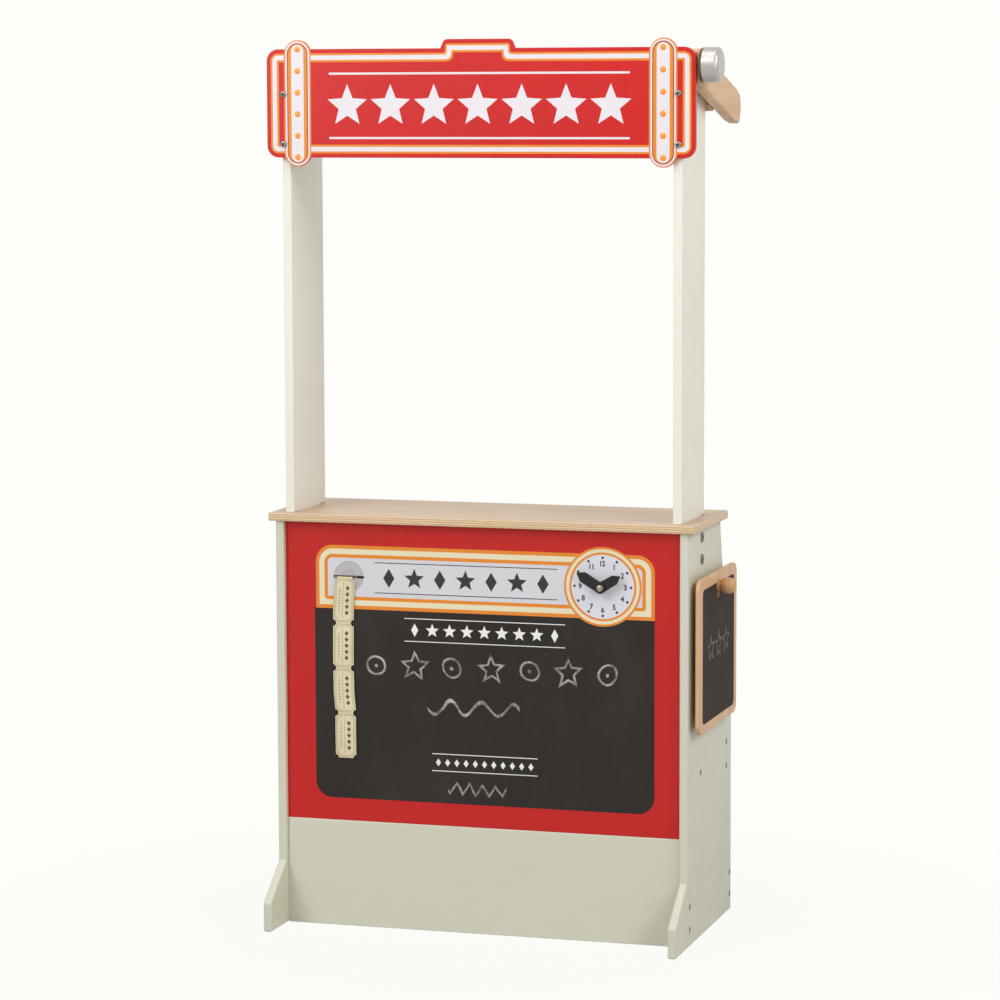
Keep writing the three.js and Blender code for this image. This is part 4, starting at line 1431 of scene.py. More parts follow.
@dataclass
class Hardware:
    """Every screw, bolt and nut of the stand at its place."""

    bench: Bench
    steel: Material
    dark: Material
    screw_length: float = 38.0
    sign_screw_length: float = 32.0
    peg_screw_length: float = 26.0
    lamp_screw_length: float = 30.4
    bolt_length: float = 20.0
    sign_front: float = -9.0

    def put(self, name: str, mesh: Mesh, direction: Vector, at: Sequence[float], turn: float) -> None:
        """Places a copy of a fastener.

        Args:
            name: CAD node that it stands for.
            mesh: Its mesh, drawn along +Z.
            direction: Way that its point looks.
            at: Its seat.
            turn: Turn about its own axis in degrees.
        """
        copy = mesh.copy()
        aim = UP.rotation_difference(direction).to_matrix().to_4x4()
        spin = Matrix.Rotation(math.radians(turn), 4, "Z")
        copy.transform(Matrix.Translation(Vector(at) * MM) @ aim @ spin)
        bronze = name.startswith(("bolt_", "nut_", "arm_"))
        material, slot = (self.dark, "dark_metal") if bronze else (self.steel, "screw_steel")
        self.bench.piece(f"{name}_dressed", copy, material, [name], slot, crease=38.0)

    def build(self) -> None:
        """Builds all the fasteners."""
        wood_screw, pan = WOOD_SCREW.mesh(self.screw_length), PAN_SCREW.mesh(self.sign_screw_length)
        pairs = (("kick", LAYOUT.kick_screws), ("rail", LAYOUT.rail_screws), ("lip", LAYOUT.lip_screws))
        levels = ("low", "high")
        places = [(f"{part}_screw_{level}", at) for part, pair in pairs for level, at in zip(levels, pair)]
        places.append(("shelf_screw", LAYOUT.shelf_screws[0]))
        turn = 7.0
        for label, side in SIDES:
            for name, (y, z) in places:
                turn = (turn * 1.7 + 23.0) % 90.0
                seat = (side * LAYOUT.panel_outer, y, z)
                self.put(f"{name}_{label}", wood_screw, RIGHT * -side, seat, turn)
        for label, side in SIDES:
            for level, z in zip(levels, LAYOUT.sign_screw_heights):
                turn = (turn * 1.7 + 23.0) % 90.0
                at = (side * LAYOUT.sign_screw_x, self.sign_front, z)
                self.put(f"sign_screw_{level}_{label}", pan, BACK, at, turn)
        bolt, nut = JointHead().bolt(self.bolt_length), JointHead().nut()
        for label, side in SIDES:
            for level, z in zip(("upper", "lower"), LAYOUT.bolt_heights):
                outside, inside = side * LAYOUT.panel_outer, side * LAYOUT.upright_inner
                self.put(f"bolt_{level}_{label}", bolt, RIGHT * -side, (outside, LAYOUT.bolt_y, z), 11.0)
                self.put(f"nut_{level}_{label}", nut, RIGHT * side, (inside, LAYOUT.bolt_y, z), 25.0)
        # The arm's bolt ends as far inside its nut as the others do.
        long_bolt = JointHead().bolt(LAYOUT.arm_outer - LAYOUT.upright_inner - LAYOUT.board_thickness + 8.0)
        self.put("arm_bolt", long_bolt, -RIGHT, (LAYOUT.arm_outer, *LAYOUT.arm_bolt), 5.0)
        self.put("arm_nut", nut, RIGHT, (LAYOUT.upright_inner, *LAYOUT.arm_bolt), 40.0)
        peg_screw = WOOD_SCREW.mesh(self.peg_screw_length)
        lamp_screw = WOOD_SCREW.mesh(self.lamp_screw_length)
        self.put("peg_screw", peg_screw, RIGHT, (LAYOUT.panel_inner, *LAYOUT.peg), 30.0)
        self.put("lamp_screw", lamp_screw, RIGHT, (LAYOUT.arm_inner, *LAYOUT.lamp), 61.0)
        for spare in (wood_screw, pan, bolt, nut, long_bolt, peg_screw, lamp_screw):
            bpy.data.meshes.remove(spare)


# ---- cabinet


@dataclass
class Cabinet:
    """Side panels, kick board, shelf, lip, rail, front board and countertop."""

    bench: Bench
    gap: float = 0.3
    # Side panel as (Y, Z, corner radius), from the toe along the floor and over the top.
    outline: tuple[Corner, ...] = (
        (-75.0, 0.0, 3.0), (239.0, 0.0, 4.0), (237.0, 275.0, 40.0), (168.0, 554.0, 0.0),
        (-13.0, 554.0, 0.0), (-13.0, 87.0, 0.0), (-75.0, 41.0, 8.0),
    )
    # Front board and its ticket slot, which is cut through only where the tickets hang.
    front_half: float = 279.7
    front_bottom: float = 145.9
    slot_span: Pair = (-207.5, -175.5)
    groove_span: Pair = (-180.0, -164.9)
    slot_half_height: float = 0.7
    pin_hole: float = 2.7
    # Countertop, and its slots for the tongues.
    counter_half: float = 297.0
    counter_front: float = -17.0
    counter_back: float = 179.0
    tongue_middle: float = 270.0
    tongue_half: float = 6.3
    tongue_front: float = 13.0
    tongue_back: float = 104.6
    relief: float = 7.6

    def panel(self, side: float) -> Mesh:
        """One side panel with its groove and holes.

        Args:
            side: -1 for the left one and 1 for the right one.

        Returns:
            The panel's mesh.
        """
        start = LAYOUT.panel_inner if side > 0 else -LAYOUT.panel_outer
        body = mesh_from(board(self.outline, Face.SIDE, start, LAYOUT.board_thickness, 3.0, 14), "panel")
        groove = rectangle(-4.8, self.front_bottom, -0.2, 700.0)
        cutters = [board(groove, Face.SIDE, side * LAYOUT.panel_inner - 4.0, 8.0, 0.0)]
        inward = RIGHT * -side
        screws = (*LAYOUT.kick_screws, *LAYOUT.rail_screws, *LAYOUT.lip_screws, *LAYOUT.shelf_screws)
        cutters += [self.countersink(inward, (side * LAYOUT.panel_outer, *place)) for place in screws]
        for z in LAYOUT.bolt_heights:
            cutters.append(rod(3.3, inward, (side * LAYOUT.panel_outer, LAYOUT.bolt_y, z), -5.0, 17.0))
        if side > 0:
            cutters.append(self.countersink(RIGHT, (LAYOUT.panel_inner, *LAYOUT.peg)))
        return carve(body, cutters)

    @staticmethod
    def countersink(direction: Vector, at: Sequence[float]) -> BMesh:
        """The hole that a wood screw sits in."""
        profile = [(0.0, -2.0), (5.0, -2.0), (5.0, 0.35), (2.3, 2.9), (2.3, 42.0), (0.0, 42.0)]
        return turned(profile, direction, at, 32)

    def cross_boards(self, cream: Material) -> None:
        """Builds the painted boards that run from panel to panel.

        Args:
            cream: The body's paint.
        """
        end = LAYOUT.panel_inner - self.gap
        # Name, front Y, rear Y, bottom, top and screws.
        boards = (
            ("kick_board", -6.0, 6.0, 0.0, 145.6, LAYOUT.kick_screws),
            ("shelf", 7.0, 201.2, 219.0, 231.0, LAYOUT.shelf_screws),
            ("shelf_lip", 201.5, 213.5, 192.0, 257.0, LAYOUT.lip_screws),
            ("rear_rail", 224.5, 236.5, 0.0, 77.0, LAYOUT.rail_screws),
        )
        for name, near, far, low, high, screws in boards:
            # The ends meet the panels squarely, so only the long edges are eased.
            flat = board(rectangle(near, low, far, high, 1.2), Face.SIDE, -end, 2 * end, 0.0, 4)
            cutters = [
                self.countersink(RIGHT * -side, (side * LAYOUT.panel_outer, *place))
                for _, side in SIDES
                for place in screws
            ]
            self.bench.painted(name, carve(mesh_from(flat, name), cutters), cream)

    def front_board(self, print_finish: Material) -> None:
        """Builds the front board with its slot and the clock's hole.

        Args:
            print_finish: Its printed finish.
        """
        outline = rectangle(-self.front_half, self.front_bottom, self.front_half, LAYOUT.panel_top)
        body = mesh_from(board(outline, Face.FRONT, -4.5, 4.0, 0.3), "front")
        cutters = []
        for (left, right), depth in ((self.slot_span, 12.0), (self.groove_span, 6.6)):
            low, high = (LAYOUT.ticket_slot[1] + way * self.slot_half_height for way in (-1.0, 1.0))
            cutters.append(board(rectangle(left, low, right, high, 0.4), Face.FRONT, -8.0, depth, 0.0, 5))
        clock_x, clock_z = LAYOUT.clock
        cutters.append(rod(self.pin_hole, BACK, (clock_x, -8.0, clock_z), 0.0, 12.0))
        body = carve(body, cutters)
        self.bench.piece("printed_front_board", body, print_finish, ["front_board"], "front_print")

    def countertop(self, plywood: Material) -> None:
        """Builds the countertop with the tongues' slots.

        Args:
            plywood: Its finish.
        """
        half, front, back = self.counter_half, self.counter_front, self.counter_back
        corners = [(-half, front, 3.0), (half, front, 3.0), (half, back, 6.0), (-half, back, 6.0)]
        thickness = LAYOUT.counter_top - LAYOUT.counter_bottom
        body = mesh_from(board(corners, Face.FLAT, LAYOUT.counter_bottom, thickness, 1.6, 14), "counter")
        cutters = []
        for _, side in SIDES:
            middle = side * self.tongue_middle
            left, right = middle - self.tongue_half, middle + self.tongue_half
            slot = rectangle(left, self.tongue_front, right, self.tongue_back)
            cutters.append(board(slot, Face.FLAT, 540.0, 40.0, 0.0))
            for y in (self.tongue_front + self.relief, self.tongue_back - self.relief):
                cutters.append(rod(self.relief, UP, (middle, y, 0.0), 540.0, 580.0))
        self.bench.piece("plywood_countertop", carve(body, cutters), plywood, ["countertop"], "plywood")

    def build(self, cream: Material, print_finish: Material, plywood: Material) -> None:
        """Builds the cabinet's boards.

        Args:
            cream: The body's paint.
            print_finish: The front board's print.
            plywood: The countertop's finish.
        """
        for label, side in SIDES:
            self.bench.painted(f"side_panel_{label}", self.panel(side), cream)
        self.cross_boards(cream)
        self.front_board(print_finish)
        self.countertop(plywood)


@dataclass
class Uprights:
    """The two uprights with their tongues and holes."""

    bench: Bench
    # Outline as (Y, Z, corner radius), with the tongue below the shoulders.
    outline: tuple[Corner, ...] = (
        (-2.7, 565.6, 0.0), (13.3, 565.6, 0.0), (13.3, 485.0, 0.0), (104.3, 485.0, 0.0),
        (104.3, 565.6, 0.0), (123.5, 565.6, 0.0), (123.5, 1184.0, 0.0), (-2.7, 1184.0, 0.0),
    )
    nut_hole: float = 4.6
    screw_hole: float = 2.3

    def build(self, cream: Material) -> None:
        """Builds both uprights.

        Args:
            cream: Their paint, a lighter copy of the body's cream as painted light.
        """
        for label, side in SIDES:
            start = LAYOUT.upright_inner if side > 0 else -LAYOUT.panel_inner
            body = mesh_from(board(self.outline, Face.SIDE, start, LAYOUT.board_thickness, 1.4), "upright")
            holes = [(LAYOUT.bolt_y, z) for z in LAYOUT.bolt_heights]
            if side > 0:
                holes.append(LAYOUT.arm_bolt)
            cutters = [rod(self.nut_hole, RIGHT, (start - 4.0, *hole), 0.0, 20.0) for hole in holes]
            for z in LAYOUT.sign_screw_heights:
                cutters.append(rod(self.screw_hole, BACK, (side * LAYOUT.sign_screw_x, -6.0, z), 0.0, 29.6))
            self.bench.painted(f"upright_{label}", carve(body, cutters), cream)


@dataclass
class Sign:
    """The sign board: a rounded board with a crest and round-ended bulb bands."""

    bench: Bench
    half: float = 295.2
    bottom: float = 1044.0
    top: float = 1188.0
    crown: float = 1200.0
    corner: float = 16.0
    crest_foot: float = 51.5
    crest_half: float = 46.0
    crest_corner: float = 6.0
    band: float = 251.7
    band_half: float = 18.55
    band_rise: float = 12.0
    band_steps: int = 14
    thickness: float = 6.0
    front: float = -9.0
    screw_hole: float = 2.3

    def build(self, material: Material) -> None:
        """Builds the sign in one piece.

        Args:
            material: Its printed finish.
        """
        half, corner = self.half, self.corner
        outline: list[Corner] = [(-half, self.bottom, corner)]
        for middle in (-self.band, self.band):
            outline += self.band_end(middle, self.bottom, -1.0)
        outline += [(half, self.bottom, corner), (half, self.top, corner)]
        outline += self.band_end(self.band, self.top, 1.0)
        outline += [
            (self.crest_foot, self.top, 0.0),
            (self.crest_half, self.crown, self.crest_corner),
            (-self.crest_half, self.crown, self.crest_corner),
            (-self.crest_foot, self.top, 0.0),
        ]
        outline += self.band_end(-self.band, self.top, 1.0)
        outline.append((-half, self.top, corner))
        body = mesh_from(board(outline, Face.FRONT, self.front, self.thickness, 0.7, 8), "sign")
        holes = [
            rod(self.screw_hole, BACK, (side * LAYOUT.sign_screw_x, self.front - 4.0, z), 0.0, 14.0)
            for _, side in SIDES
            for z in LAYOUT.sign_screw_heights
        ]
        body = carve(body, holes)
        self.bench.piece("printed_sign_board", body, material, ["sign_board"], "sign_print", crease=40.0)

    def band_end(self, middle: float, edge: float, way: float) -> list[Corner]:
        """The round end of a band, from where it leaves the board's edge to where it comes back.

        Args:
            middle: X of the band.
            edge: Z of the board's edge.
            way: 1 above the board and -1 below it.

        Returns:
            Corners in the order of the outline.
        """
        radius, rise = self.band_half, self.band_rise
        cross = math.sqrt(radius**2 - (radius - rise) ** 2)
        centre = edge + way * (rise - radius)
        first = math.atan2((edge - centre) * way, cross)
        points: list[Corner] = []
        for step in range(self.band_steps + 1):
            angle = first + (math.pi - 2 * first) * step / self.band_steps
            across, up = way * radius * math.cos(angle), way * radius * math.sin(angle)
            points.append((middle + across, centre + up, 0.0))
        return points


# ---- clock


@dataclass
class Clock:
    """Hands, pin, spacer, nut and the printed numbers of the toy clock."""

    bench: Bench
    bore: float = 2.7
    # Hands as (length, shoulder, width there, angle from +X towards +Z, front Y).
    hour: tuple[float, ...] = (32.0, 22.3, 13.4, 31.0, -17.0)
    minute: tuple[float, ...] = (38.0, 27.5, 14.6, 149.0, -19.0)
    hand_thickness: float = 1.7
    tail: float = 7.5
    neck: float = math.asin(14.0 / 15.0)
    tail_steps: int = 20
    # Pin as (radius, Y, corner radius) from its domed front.
    pin: tuple[Corner, ...] = (
        (0.0, -22.7, 0.0), (2.6, -22.4, 3.0), (4.5, -20.9, 1.6), (5.0, -19.3, 0.2), (2.4, -19.3, 0.0),
        (2.4, 7.8, 0.4), (0.0, 7.8, 0.0),
    )
    number_reach: float = 31.0
    number_size: float = 9.936
    number_stretch: tuple[float, ...] = (0.92, 1.0, 0.22, 1.0)
    number_plane: float = -4.56

    def hand(self, length: float, shoulder: float, width: float, angle: float, front: float) -> BMesh:
        """One hand: a round tail that widens to shoulders and runs to a point.

        Args:
            length: From the pin to the point.
            shoulder: From the pin to the widest place.
            width: Width there.
            angle: Direction in degrees from +X towards +Z.
            front: Y of the front face.

        Returns:
            The hand in millimetres.
        """
        corners: list[Corner] = []
        for step in range(self.tail_steps + 1):
            turn = self.neck + (2 * math.pi - 2 * self.neck) * step / self.tail_steps
            corners.append((self.tail * math.cos(turn), self.tail * math.sin(turn), 0.0))
        corners += [(shoulder, -width / 2, 1.0), (length, 0.0, 0.8), (shoulder, width / 2, 1.0)]
        shape = board(corners, Face.FLAT, 0.0, self.hand_thickness, 0.35, 4)
        x, z = LAYOUT.clock
        place = Matrix.Translation(Vector((x, front + self.hand_thickness, z)))
        stand_up = Matrix.Rotation(math.radians(90.0), 4, "X")
        spin = Matrix.Rotation(math.radians(angle), 4, "Z")
        bmesh.ops.transform(shape, matrix=place @ stand_up @ spin, verts=shape.verts)
        return shape

    def number(self, hour: int) -> Mesh:
        """One number of the dial at its place.

        Args:
            hour: The hour, 1 to 12.

        Returns:
            The number in metres.
        """
        text = bpy.data.curves.new("number", "FONT")
        text.body, text.size = str(hour), self.number_size * MM
        text.align_x, text.align_y = "CENTER", "CENTER"
        text.space_character = 0.9
        text.bevel_depth, text.bevel_resolution = 0.3 * MM, 1
        holder = link(bpy.data.objects.new("number", text))
        bpy.context.view_layer.update()
        flat = bpy.data.meshes.new_from_object(holder.evaluated_get(bpy.context.evaluated_depsgraph_get()))
        middle = sum((Vector(corner) for corner in holder.bound_box), Vector()) / 8
        angle = math.radians(90.0 - 30.0 * hour)
        x, z = LAYOUT.clock
        across, up = (self.number_reach * part for part in (math.cos(angle), math.sin(angle)))
        place = Matrix.Translation(Vector((x + across, self.number_plane, z + up)) * MM)
        stand_up = Matrix.Rotation(math.radians(90.0), 4, "X")
        stretch = Matrix.Diagonal(self.number_stretch)
        flat.transform(place @ stand_up @ stretch @ Matrix.Translation(-middle))
        bpy.data.objects.remove(holder)
        bpy.data.curves.remove(text)
        return flat

    def numbers(self) -> Mesh:
        """The dial's numbers, as thin raised ink."""
        ink = bmesh.new()
        for hour in range(1, 13):
            flat = self.number(hour)
            ink.from_mesh(flat)
            bpy.data.meshes.remove(flat)
        bmesh.ops.remove_doubles(ink, verts=ink.verts, dist=1e-7)
        return settle(ink, "numbers")

    def build(self, black: Material, chrome: Material, steel: Material, ink: Material) -> None:
        """Builds the clock's pieces.

        Args:
            black: Plastic of the hands and the spacer.
            chrome: Finish of the pin.
            steel: Finish of the nut.
            ink: Ink of the numbers.
        """
        x, z = LAYOUT.clock
        centre = (x, 0.0, z)
        for name, radius, start, end, material, slot, sides in (
            ("clock_spacer", 5.0, -15.0, -4.8, black, "black_plastic", 48),
            ("clock_nut", 6.0, -0.2, 2.8, steel, "screw_steel", 6),
        ):
            shape = turned(sleeve(self.bore, radius, start, end, 0.4), BACK, centre, sides)
            self.bench.piece(f"{name}_dressed", shape, material, [name], slot)
        for name, sizes in (("hour_hand", self.hour), ("minute_hand", self.minute)):
            mesh = carve(mesh_from(self.hand(*sizes), name), [rod(self.bore, BACK, centre, -24.0, -10.0)])
            self.bench.piece(f"{name}_dressed", mesh, black, [name], "black_plastic", name)
        pin = turned(rounded_profile(self.pin), BACK, centre)
        self.bench.piece("clock_pin_dressed", pin, chrome, ["clock_pin"], "chrome_pin")
        self.bench.piece("dial_numbers", self.numbers(), ink, (), "front_print")


# ---- tickets


@dataclass
class Tickets:
    """A chain of cards that comes over the edge of its slot and hangs in front of the board."""

    bench: Bench
    x: float = -192.0
    top: float = 480.0
    count: int = 4
    length: float = 61.6
    width: float = 29.3
    thickness: float = 0.7
    front: float = -6.4
    notch: float = 4.6
    tail: float = 21.0
    fold: float = 1.3
    # How far a card bows forwards at its middle, and how the chain leans forwards as it hangs.
    bow: float = 0.5
    bow_start: float = 30.0
    slant: float = 0.0016
    # Sideways drift as (distance below the slot, drift).
    drift: tuple[Pair, ...] = (
        (0.0, 0.7), (61.6, -1.6), (123.2, -1.9), (150.0, -1.4), (184.8, 0.7), (246.4, 1.0),
    )
    # Where the flat chain is cut so that it can bend.
    cut_step: float = 2.2
    fold_step: float = 0.2
    tail_cuts: tuple[float, ...] = (6.0, 12.0)
    long_cuts: tuple[float, ...] = (-7.0, 0.0, 7.0)

    def lean(self, down: float) -> float:
        """Sideways drift of the chain at a distance below the slot.

        Args:
            down: The distance.

        Returns:
            The drift towards +X.
        """
        for (upper, left), (lower, right) in zip(self.drift, self.drift[1:]):
            if down <= lower:
                share = max(0.0, (down - upper) / (lower - upper))
                return left + (right - left) * share * share * (3 - 2 * share)
        return self.drift[-1][1]

    def bend(self, point: Vector) -> Vector:
        """Carries a point of the flat chain to its place.

        Args:
            point: Across, along (0 at the slot, minus downwards) and through the card.

        Returns:
            The bent point.
        """
        across, along, through = point
        down = -along
        if down >= 0.0:
            seam = abs(math.sin(math.pi * down / self.length))
            bow = self.bow * seam * min(1.0, down / self.bow_start) + self.slant * down
            y, z = self.front + through - bow, self.top - self.fold - down
            return Vector((self.x + across + self.lean(down), y, z))
        turn = min(-down / self.fold, math.pi / 2)
        rest = max(0.0, -down - self.fold * math.pi / 2)
        radius = self.fold - through + self.thickness / 2
        y = self.front + self.fold + self.thickness / 2 - radius * math.cos(turn) + rest
        z = self.top - self.fold + radius * math.sin(turn)
        return Vector((self.x + across + self.lean(0.0), y, z))

    def build(self, card: Material) -> None:
        """Builds the chain.

        Args:
            card: Its printed finish.
        """
        half = self.width / 2
        bottom = -self.count * self.length
        flat = board(rectangle(-half, bottom, half, self.tail), Face.FLAT, 0.0, self.thickness, 0.0)
        notches = [
            rod(self.notch, UP, (side * (half + 0.4), -seam * self.length, 0.0), -2.0, 4.0, 24)
            for _, side in SIDES
            for seam in range(self.count + 1)
        ]
        body = carve(mesh_from(flat, "tickets"), notches)
        shape = bmesh.new()
        shape.from_mesh(body)
        bpy.data.meshes.remove(body)
        bmesh.ops.scale(shape, vec=Vector((1000, 1000, 1000)), verts=shape.verts)
        heights = [bottom + self.cut_step * step for step in range(1, int(-bottom / self.cut_step))]
        heights += [self.fold * self.fold_step * step for step in range(10)]
        heights += self.tail_cuts
        planes = [((0, height, 0), BACK) for height in heights]
        planes += [((across, 0, 0), RIGHT) for across in self.long_cuts]
        for point, normal in planes:
            geometry = [*shape.verts, *shape.edges, *shape.faces]
            bmesh.ops.bisect_plane(shape, geom=geometry, plane_co=point, plane_no=normal, dist=1e-5)
        layer = shape.loops.layers.uv.new("card")
        for face in shape.faces:
            for loop in face.loops:
                loop[layer].uv = (loop.vert.co.x * MM, loop.vert.co.y * MM)
        for vert in shape.verts:
            vert.co = self.bend(vert.co)
        bmesh.ops.recalc_face_normals(shape, faces=shape.faces)
        bmesh.ops.scale(shape, vec=Vector((MM, MM, MM)), verts=shape.verts)
        mesh = settle(shape, "tickets")
        self.bench.piece("ticket_chain", mesh, card, ["ticket_strip"], "ticket_card", "tickets", 50.0)


# ---- small board and lamp


@dataclass
class SmallBoard:
    """The hanging chalkboard and its turned peg."""

    bench: Bench
    # Board as near Y, bottom, far Y, top and corner radius.
    outline: tuple[float, ...] = (-6.75, 285.0, 206.75, 492.0, 15.0)
    plane: float = 296.0
    thickness: float = 6.0
    ease: float = 1.3
    hole: float = 11.8
    hole_height: float = 468.25
    # Peg as (radius, X, corner radius) from the socket of its screw.
    peg: tuple[Corner, ...] = (
        (0.0, 302.3, 0.0), (2.3, 302.3, 0.0), (2.3, 288.3, 0.0), (12.0, 288.3, 0.8), (12.0, 295.7, 1.2),
        (6.75, 295.7, 0.0), (6.75, 305.0, 0.5), (9.5, 308.2, 2.5), (11.25, 313.5, 6.0),
        (10.1, 320.9, 5.0), (6.2, 325.5, 2.5), (0.0, 326.2, 0.0),
    )

    def build(self, slate: Material, wood: Material) -> None:
        """Builds the board and the peg.

        Args:
            slate: The board's finish.
            wood: The peg's finish.
        """
        flat = board(rectangle(*self.outline), Face.SIDE, self.plane, self.thickness, 0.0, 12)
        hole = rod(self.hole, RIGHT, (self.plane - 6.0, LAYOUT.peg[0], self.hole_height), 0.0, 20.0, 64)
        body = carve(mesh_from(flat, "small_board"), [hole])
        names = (["hanging_board"], "chalk_paint", "small_board")
        made = self.bench.piece("small_chalkboard", body, slate, *names)
        ease = made.modifiers.new("ease", "BEVEL")
        ease.width, ease.segments = self.ease * MM, 3
        ease.limit_method, ease.angle_limit = "ANGLE", math.radians(50)
        made.modifiers.move(1, 0)
        peg = turned(rounded_profile(self.peg), RIGHT, (0.0, *LAYOUT.peg), 64)
        self.bench.piece("turned_peg", peg, wood, ["board_peg"], "natural_wood", crease=40.0)


@dataclass
class Lamp:
    """The toy lamp: arm, dowel, spacer, collar and a rounded body."""

    bench: Bench
    front: float = -13.0
    top: float = 1187.5
    # Arm as (depth behind the front, drop below the top, corner radius).
    arm: tuple[Corner, ...] = (
        (13.0, 47.5, 6.0), (61.0, 59.5, 25.0), (205.0, 96.5, 14.0), (235.0, 101.0, 7.0),
        (244.0, 79.0, 7.0), (238.0, 60.0, 7.0), (217.5, 52.5, 14.0), (13.0, 0.0, 6.0),
    )
    bolt_hole: float = 3.3
    dowel_hole: float = 3.8
    # Dowel and shell as (radius, X, corner radius).
    dowel: tuple[Corner, ...] = (
        (0.0, 264.0, 0.0), (8.25, 264.0, 1.2), (8.25, 283.7, 0.3), (3.5, 283.7, 0.0), (3.5, 292.0, 0.5),
        (0.0, 292.0, 0.0),
    )
    shell: tuple[Corner, ...] = (
        (0.0, 314.7, 0.0), (2.3, 314.7, 0.0), (2.3, 303.0, 0.0), (23.0, 303.0, 1.0), (23.0, 325.7, 5.5),
        (0.0, 325.7, 0.0),
    )
    # Rings as (bore, radius, inner X, outer X, ease).
    spacer: tuple[float, ...] = (3.3, 11.0, 276.3, 283.7, 0.5)
    collar: tuple[float, ...] = (2.3, 22.3, 300.3, 302.7, 0.4)

    def build(self, wood: Material, silver: Material, collar_shade: Material) -> None:
        """Builds the lamp and its arm.

        Args:
            wood: Finish of the arm, the dowel and the spacer.
            silver: Finish of the body.
            collar_shade: Dark finish of the collar, painted shade for the gap between arm and body.
        """
        corners = [(self.front + depth, self.top - drop, radius) for depth, drop, radius in self.arm]
        thickness = LAYOUT.arm_outer - LAYOUT.arm_inner
        body = mesh_from(board(corners, Face.SIDE, LAYOUT.arm_inner, thickness, 3.6, 8), "arm")
        cutters = [
            rod(self.bolt_hole, RIGHT, (270.0, *LAYOUT.arm_bolt), 0.0, 50.0),
            rod(self.dowel_hole, RIGHT, (270.0, *LAYOUT.arm_dowel), 0.0, 22.3),
            Cabinet.countersink(RIGHT, (LAYOUT.arm_inner, *LAYOUT.lamp)),
        ]
        self.bench.piece("beech_arm", carve(body, cutters), wood, ["lamp_arm"], "natural_wood")
        for name, profile, centre, sides, material, slot in (
            ("arm_dowel", rounded_profile(self.dowel), LAYOUT.arm_dowel, 48, wood, "natural_wood"),
            ("arm_spacer", sleeve(*self.spacer), LAYOUT.arm_bolt, 48, wood, "natural_wood"),
            ("lamp_collar", sleeve(*self.collar), LAYOUT.lamp, 72, collar_shade, "brown_collar"),
            ("lamp_body", rounded_profile(self.shell, 10), LAYOUT.lamp, 72, silver, "silver_paint"),
        ):
            shape = turned(profile, RIGHT, (0.0, *centre), sides)
            self.bench.piece(f"{name}_dressed", shape, material, [name], slot)


# ---- studio


@dataclass(frozen=True)
class SoftLamp:
    """A lamp panel: its place, the point it looks at, its sides in metres, its watts and its colour."""

    name: str
    at: Point
    aim: Point
    size: Pair
    power: float
    tint: Point = (1.0, 1.0, 1.0)

    def hang(self) -> None:
        """Puts the lamp into the scene."""
        data = bpy.data.lights.new(self.name, "AREA")
        data.shape, data.energy, data.color = "RECTANGLE", self.power, self.tint
        data.size, data.size_y = self.size
        made = link(bpy.data.objects.new(self.name, data))
        made.location = self.at
        made.rotation_euler = (Vector(self.aim) - Vector(self.at)).to_track_quat("-Z", "Y").to_euler()


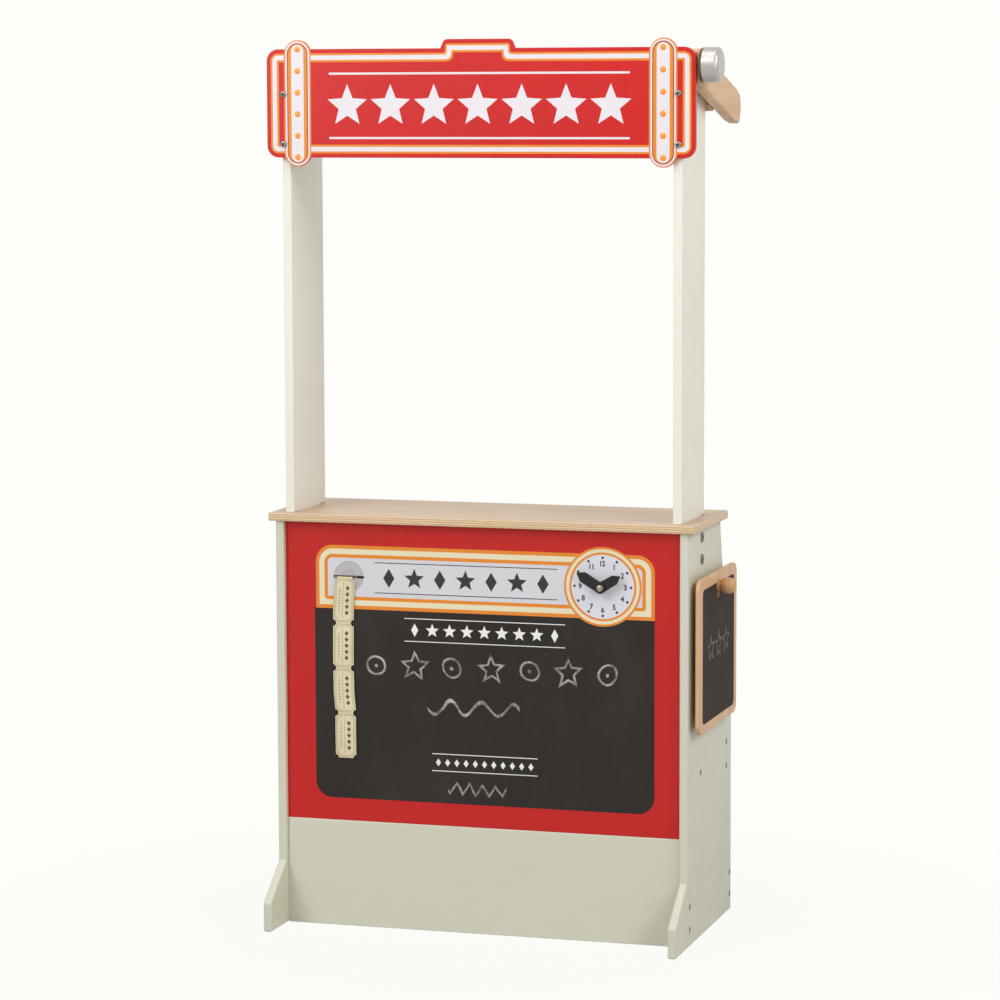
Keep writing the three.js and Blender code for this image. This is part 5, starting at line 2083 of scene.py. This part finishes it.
@dataclass
class Studio:
    """Camera, soft lights, pale floor and background, in metres."""

    eye: Point = (1.41794, -4.5955, 1.13217)
    right: Point = (0.95718, 0.28947, -0.00311)
    up: Point = (-0.02950, 0.10822, 0.99369)
    ahead: Point = (-0.28798, 0.95105, -0.11213)
    lens: float = 130.59
    sky: float = 0.39
    backdrop: Colour = (0.991, 0.991, 0.965, 1.0)
    floor_tone: Colour = (0.5, 0.5, 0.49, 1.0)
    floor_half: float = 14.0
    # The floor's shadow fades into the background between these distances from the middle.
    fade: Pair = (0.3, 1.0)
    fade_start: float = 0.94
    rays: tuple[str, ...] = ("Camera", "Glossy", "Transmission")
    lamps: tuple[SoftLamp, ...] = (
        SoftLamp("key", (-0.8, -1.7, 2.6), (0.0, 0.0, 0.9), (1.4, 1.4), 15.0),
        SoftLamp("front", (-1.6, -3.2, 2.6), (0.0, 0.0, 0.9), (1.4, 1.4), 36.0),
        SoftLamp("left", (-1.6, -1.0, 2.4), (0.0, 0.0, 0.9), (1.0, 1.0), 5.0),
        SoftLamp("side", (2.2, -0.6, 2.1), (0.0, 0.0, 0.8), (1.2, 1.2), 26.0, (1.0, 0.955, 0.93)),
        SoftLamp("top", (0.0, -0.35, 2.5), (0.0, -0.1, 0.5), (0.9, 0.9), 5.0),
        SoftLamp("glare", (-2.3, -3.7, 1.5), (-0.2, 0.0, 1.1), (0.9, 0.9), 13.0),
        SoftLamp("strip", (2.2, -2.4, 1.3), (0.3, 0.0, 1.1), (0.3, 1.8), 16.0, (1.0, 0.97, 0.95)),
    )

    def camera(self) -> None:
        """Puts the camera where the picture was taken."""
        data = bpy.data.cameras.new("camera")
        data.lens, data.sensor_width = self.lens, 36.0
        data.clip_start, data.clip_end = 0.1, 60.0
        made = link(bpy.data.objects.new("camera", data))
        turn = Matrix((Vector(self.right), Vector(self.up), -Vector(self.ahead))).transposed().to_4x4()
        made.matrix_world = Matrix.Translation(Vector(self.eye)) @ turn
        bpy.context.scene.camera = made

    def seen(self, paints: Paintbox) -> Wire:
        """Finds the rays that show the background itself or mirror it.

        Args:
            paints: Nodes of the tree that asks.

        Returns:
            1 for such rays and 0 for others.
        """
        rays = paints.node("LightPath").outputs
        camera, glossy, through = (Wire(paints, rays[f"Is {kind} Ray"]) for kind in self.rays)
        return camera.most(glossy).most(through)

    def either(self, paints: Paintbox, share: Wire, light: bpy.types.Node, shown: str, out: str) -> None:
        """Ends a tree in the background's colour where the share is 1, and in a light of its own elsewhere.

        Args:
            paints: The tree's nodes.
            share: Share of the background.
            light: Node for the rest.
            shown: Kind of the node that shows the background.
            out: Kind of the output node.
        """
        glow = paints.node(shown, None, {0: self.backdrop, 1: 1.0})
        mixed = paints.node("MixShader", None, {0: share, 1: light.outputs[0], 2: glow.outputs[0]})
        paints.node(out, None, {0: mixed.outputs[0]})

    def world(self) -> None:
        """Even light from all round, with a pale background."""
        bpy.context.scene.world = bpy.data.worlds.new("studio")
        paints = Paintbox(bpy.context.scene.world)
        light = paints.node("Background", None, {0: (1.0, 1.0, 1.0, 1.0), 1: self.sky})
        self.either(paints, self.seen(paints), light, "Background", "OutputWorld")

    def floor(self) -> None:
        """A pale floor that keeps the stand's shadow."""
        shape = bmesh.new()
        bmesh.ops.create_grid(shape, x_segments=1, y_segments=1, size=self.floor_half)
        mesh = settle(shape, "floor")
        paints = Paintbox("floor")
        matt = paints.node("BsdfDiffuse", None, {0: self.floor_tone})
        reach = paints.node("VectorMath", {"operation": "LENGTH"}, {0: paints.place})
        fade = paints.spread(reach.outputs["Value"], *self.fade, self.fade_start, 1.0)
        share = self.seen(paints) * fade
        self.either(paints, share, matt, "Emission", "OutputMaterial")
        mesh.materials.append(paints.owner)
        made = link(bpy.data.objects.new("floor", mesh))

    def build(self) -> None:
        """Sets the whole studio up."""
        bpy.context.scene.view_settings.view_transform = "Standard"
        self.camera()
        self.world()
        self.floor()
        for lamp in self.lamps:
            lamp.hang()


def main() -> None:
    """Builds the stand's pieces in order and dresses them."""
    logging.basicConfig(level=logging.INFO, format="%(message)s")
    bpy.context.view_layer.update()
    Studio().build()
    bench = Bench()
    cream = SatinPaint("cream_paint", pigment(213, 213, 194), pigment(209, 208, 188)).material()
    # The uprights get a lighter copy of the cream paint as painted light: the upper part stands brighter than
    # the boards below.
    pale = SatinPaint("cream_paint_lit_copy", pigment(238, 236, 224), pigment(234, 232, 219)).material()
    steel = Metal("screw_steel", pigment(150, 148, 142), pigment(118, 114, 108), 0.42).material()
    dark = Metal("dark_metal", pigment(120, 111, 102), pigment(88, 79, 70), 0.36).material()
    Cabinet(bench).build(cream, FrontPrint().material(), CounterPlywood().material())
    Uprights(bench).build(pale)
    Sign(bench).build(SignPrint().material())
    Hardware(bench, steel, dark).build()
    black = Plain("black_plastic", pigment(30, 26, 24), pigment(22, 20, 18), 0.5, 0.03, 0.3).material()
    chrome = Metal("chrome_pin", pigment(166, 156, 147), pigment(120, 109, 98), 0.13).material()
    ink = Plain("dial_ink", pigment(26, 24, 24), pigment(34, 32, 31), 0.6).material()
    Clock(bench).build(black, chrome, steel, ink)
    Tickets(bench).build(TicketCard().material())
    peg_tones = (pigment(222, 178, 128), pigment(208, 160, 108), pigment(180, 130, 82))
    peg_wood = PaleWood("peg_wood", Grain.ALONG_X, *peg_tones).material()
    SmallBoard(bench).build(ChalkPanel().material(), peg_wood)
    arm_tones = (pigment(222, 184, 145), pigment(212, 171, 130), pigment(190, 146, 106))
    arm_wood = PaleWood("arm_wood", Grain.ALONG_Y, *arm_tones).material()
    silver_tones = (pigment(184, 178, 175), pigment(174, 168, 166))
    silver = Metal("silver_paint", *silver_tones, 0.27, 0.6, 0.001).material()
    # The collar's dark brown is painted shade for the gap between the arm and the lamp body.
    collar_shade = Plain("brown_collar", pigment(104, 68, 42), pigment(84, 55, 35), 0.6).material()
    Lamp(bench).build(arm_wood, silver, collar_shade)
    LOG.info("%d pieces", bench.count)


if __name__ == "__main__":
    main()
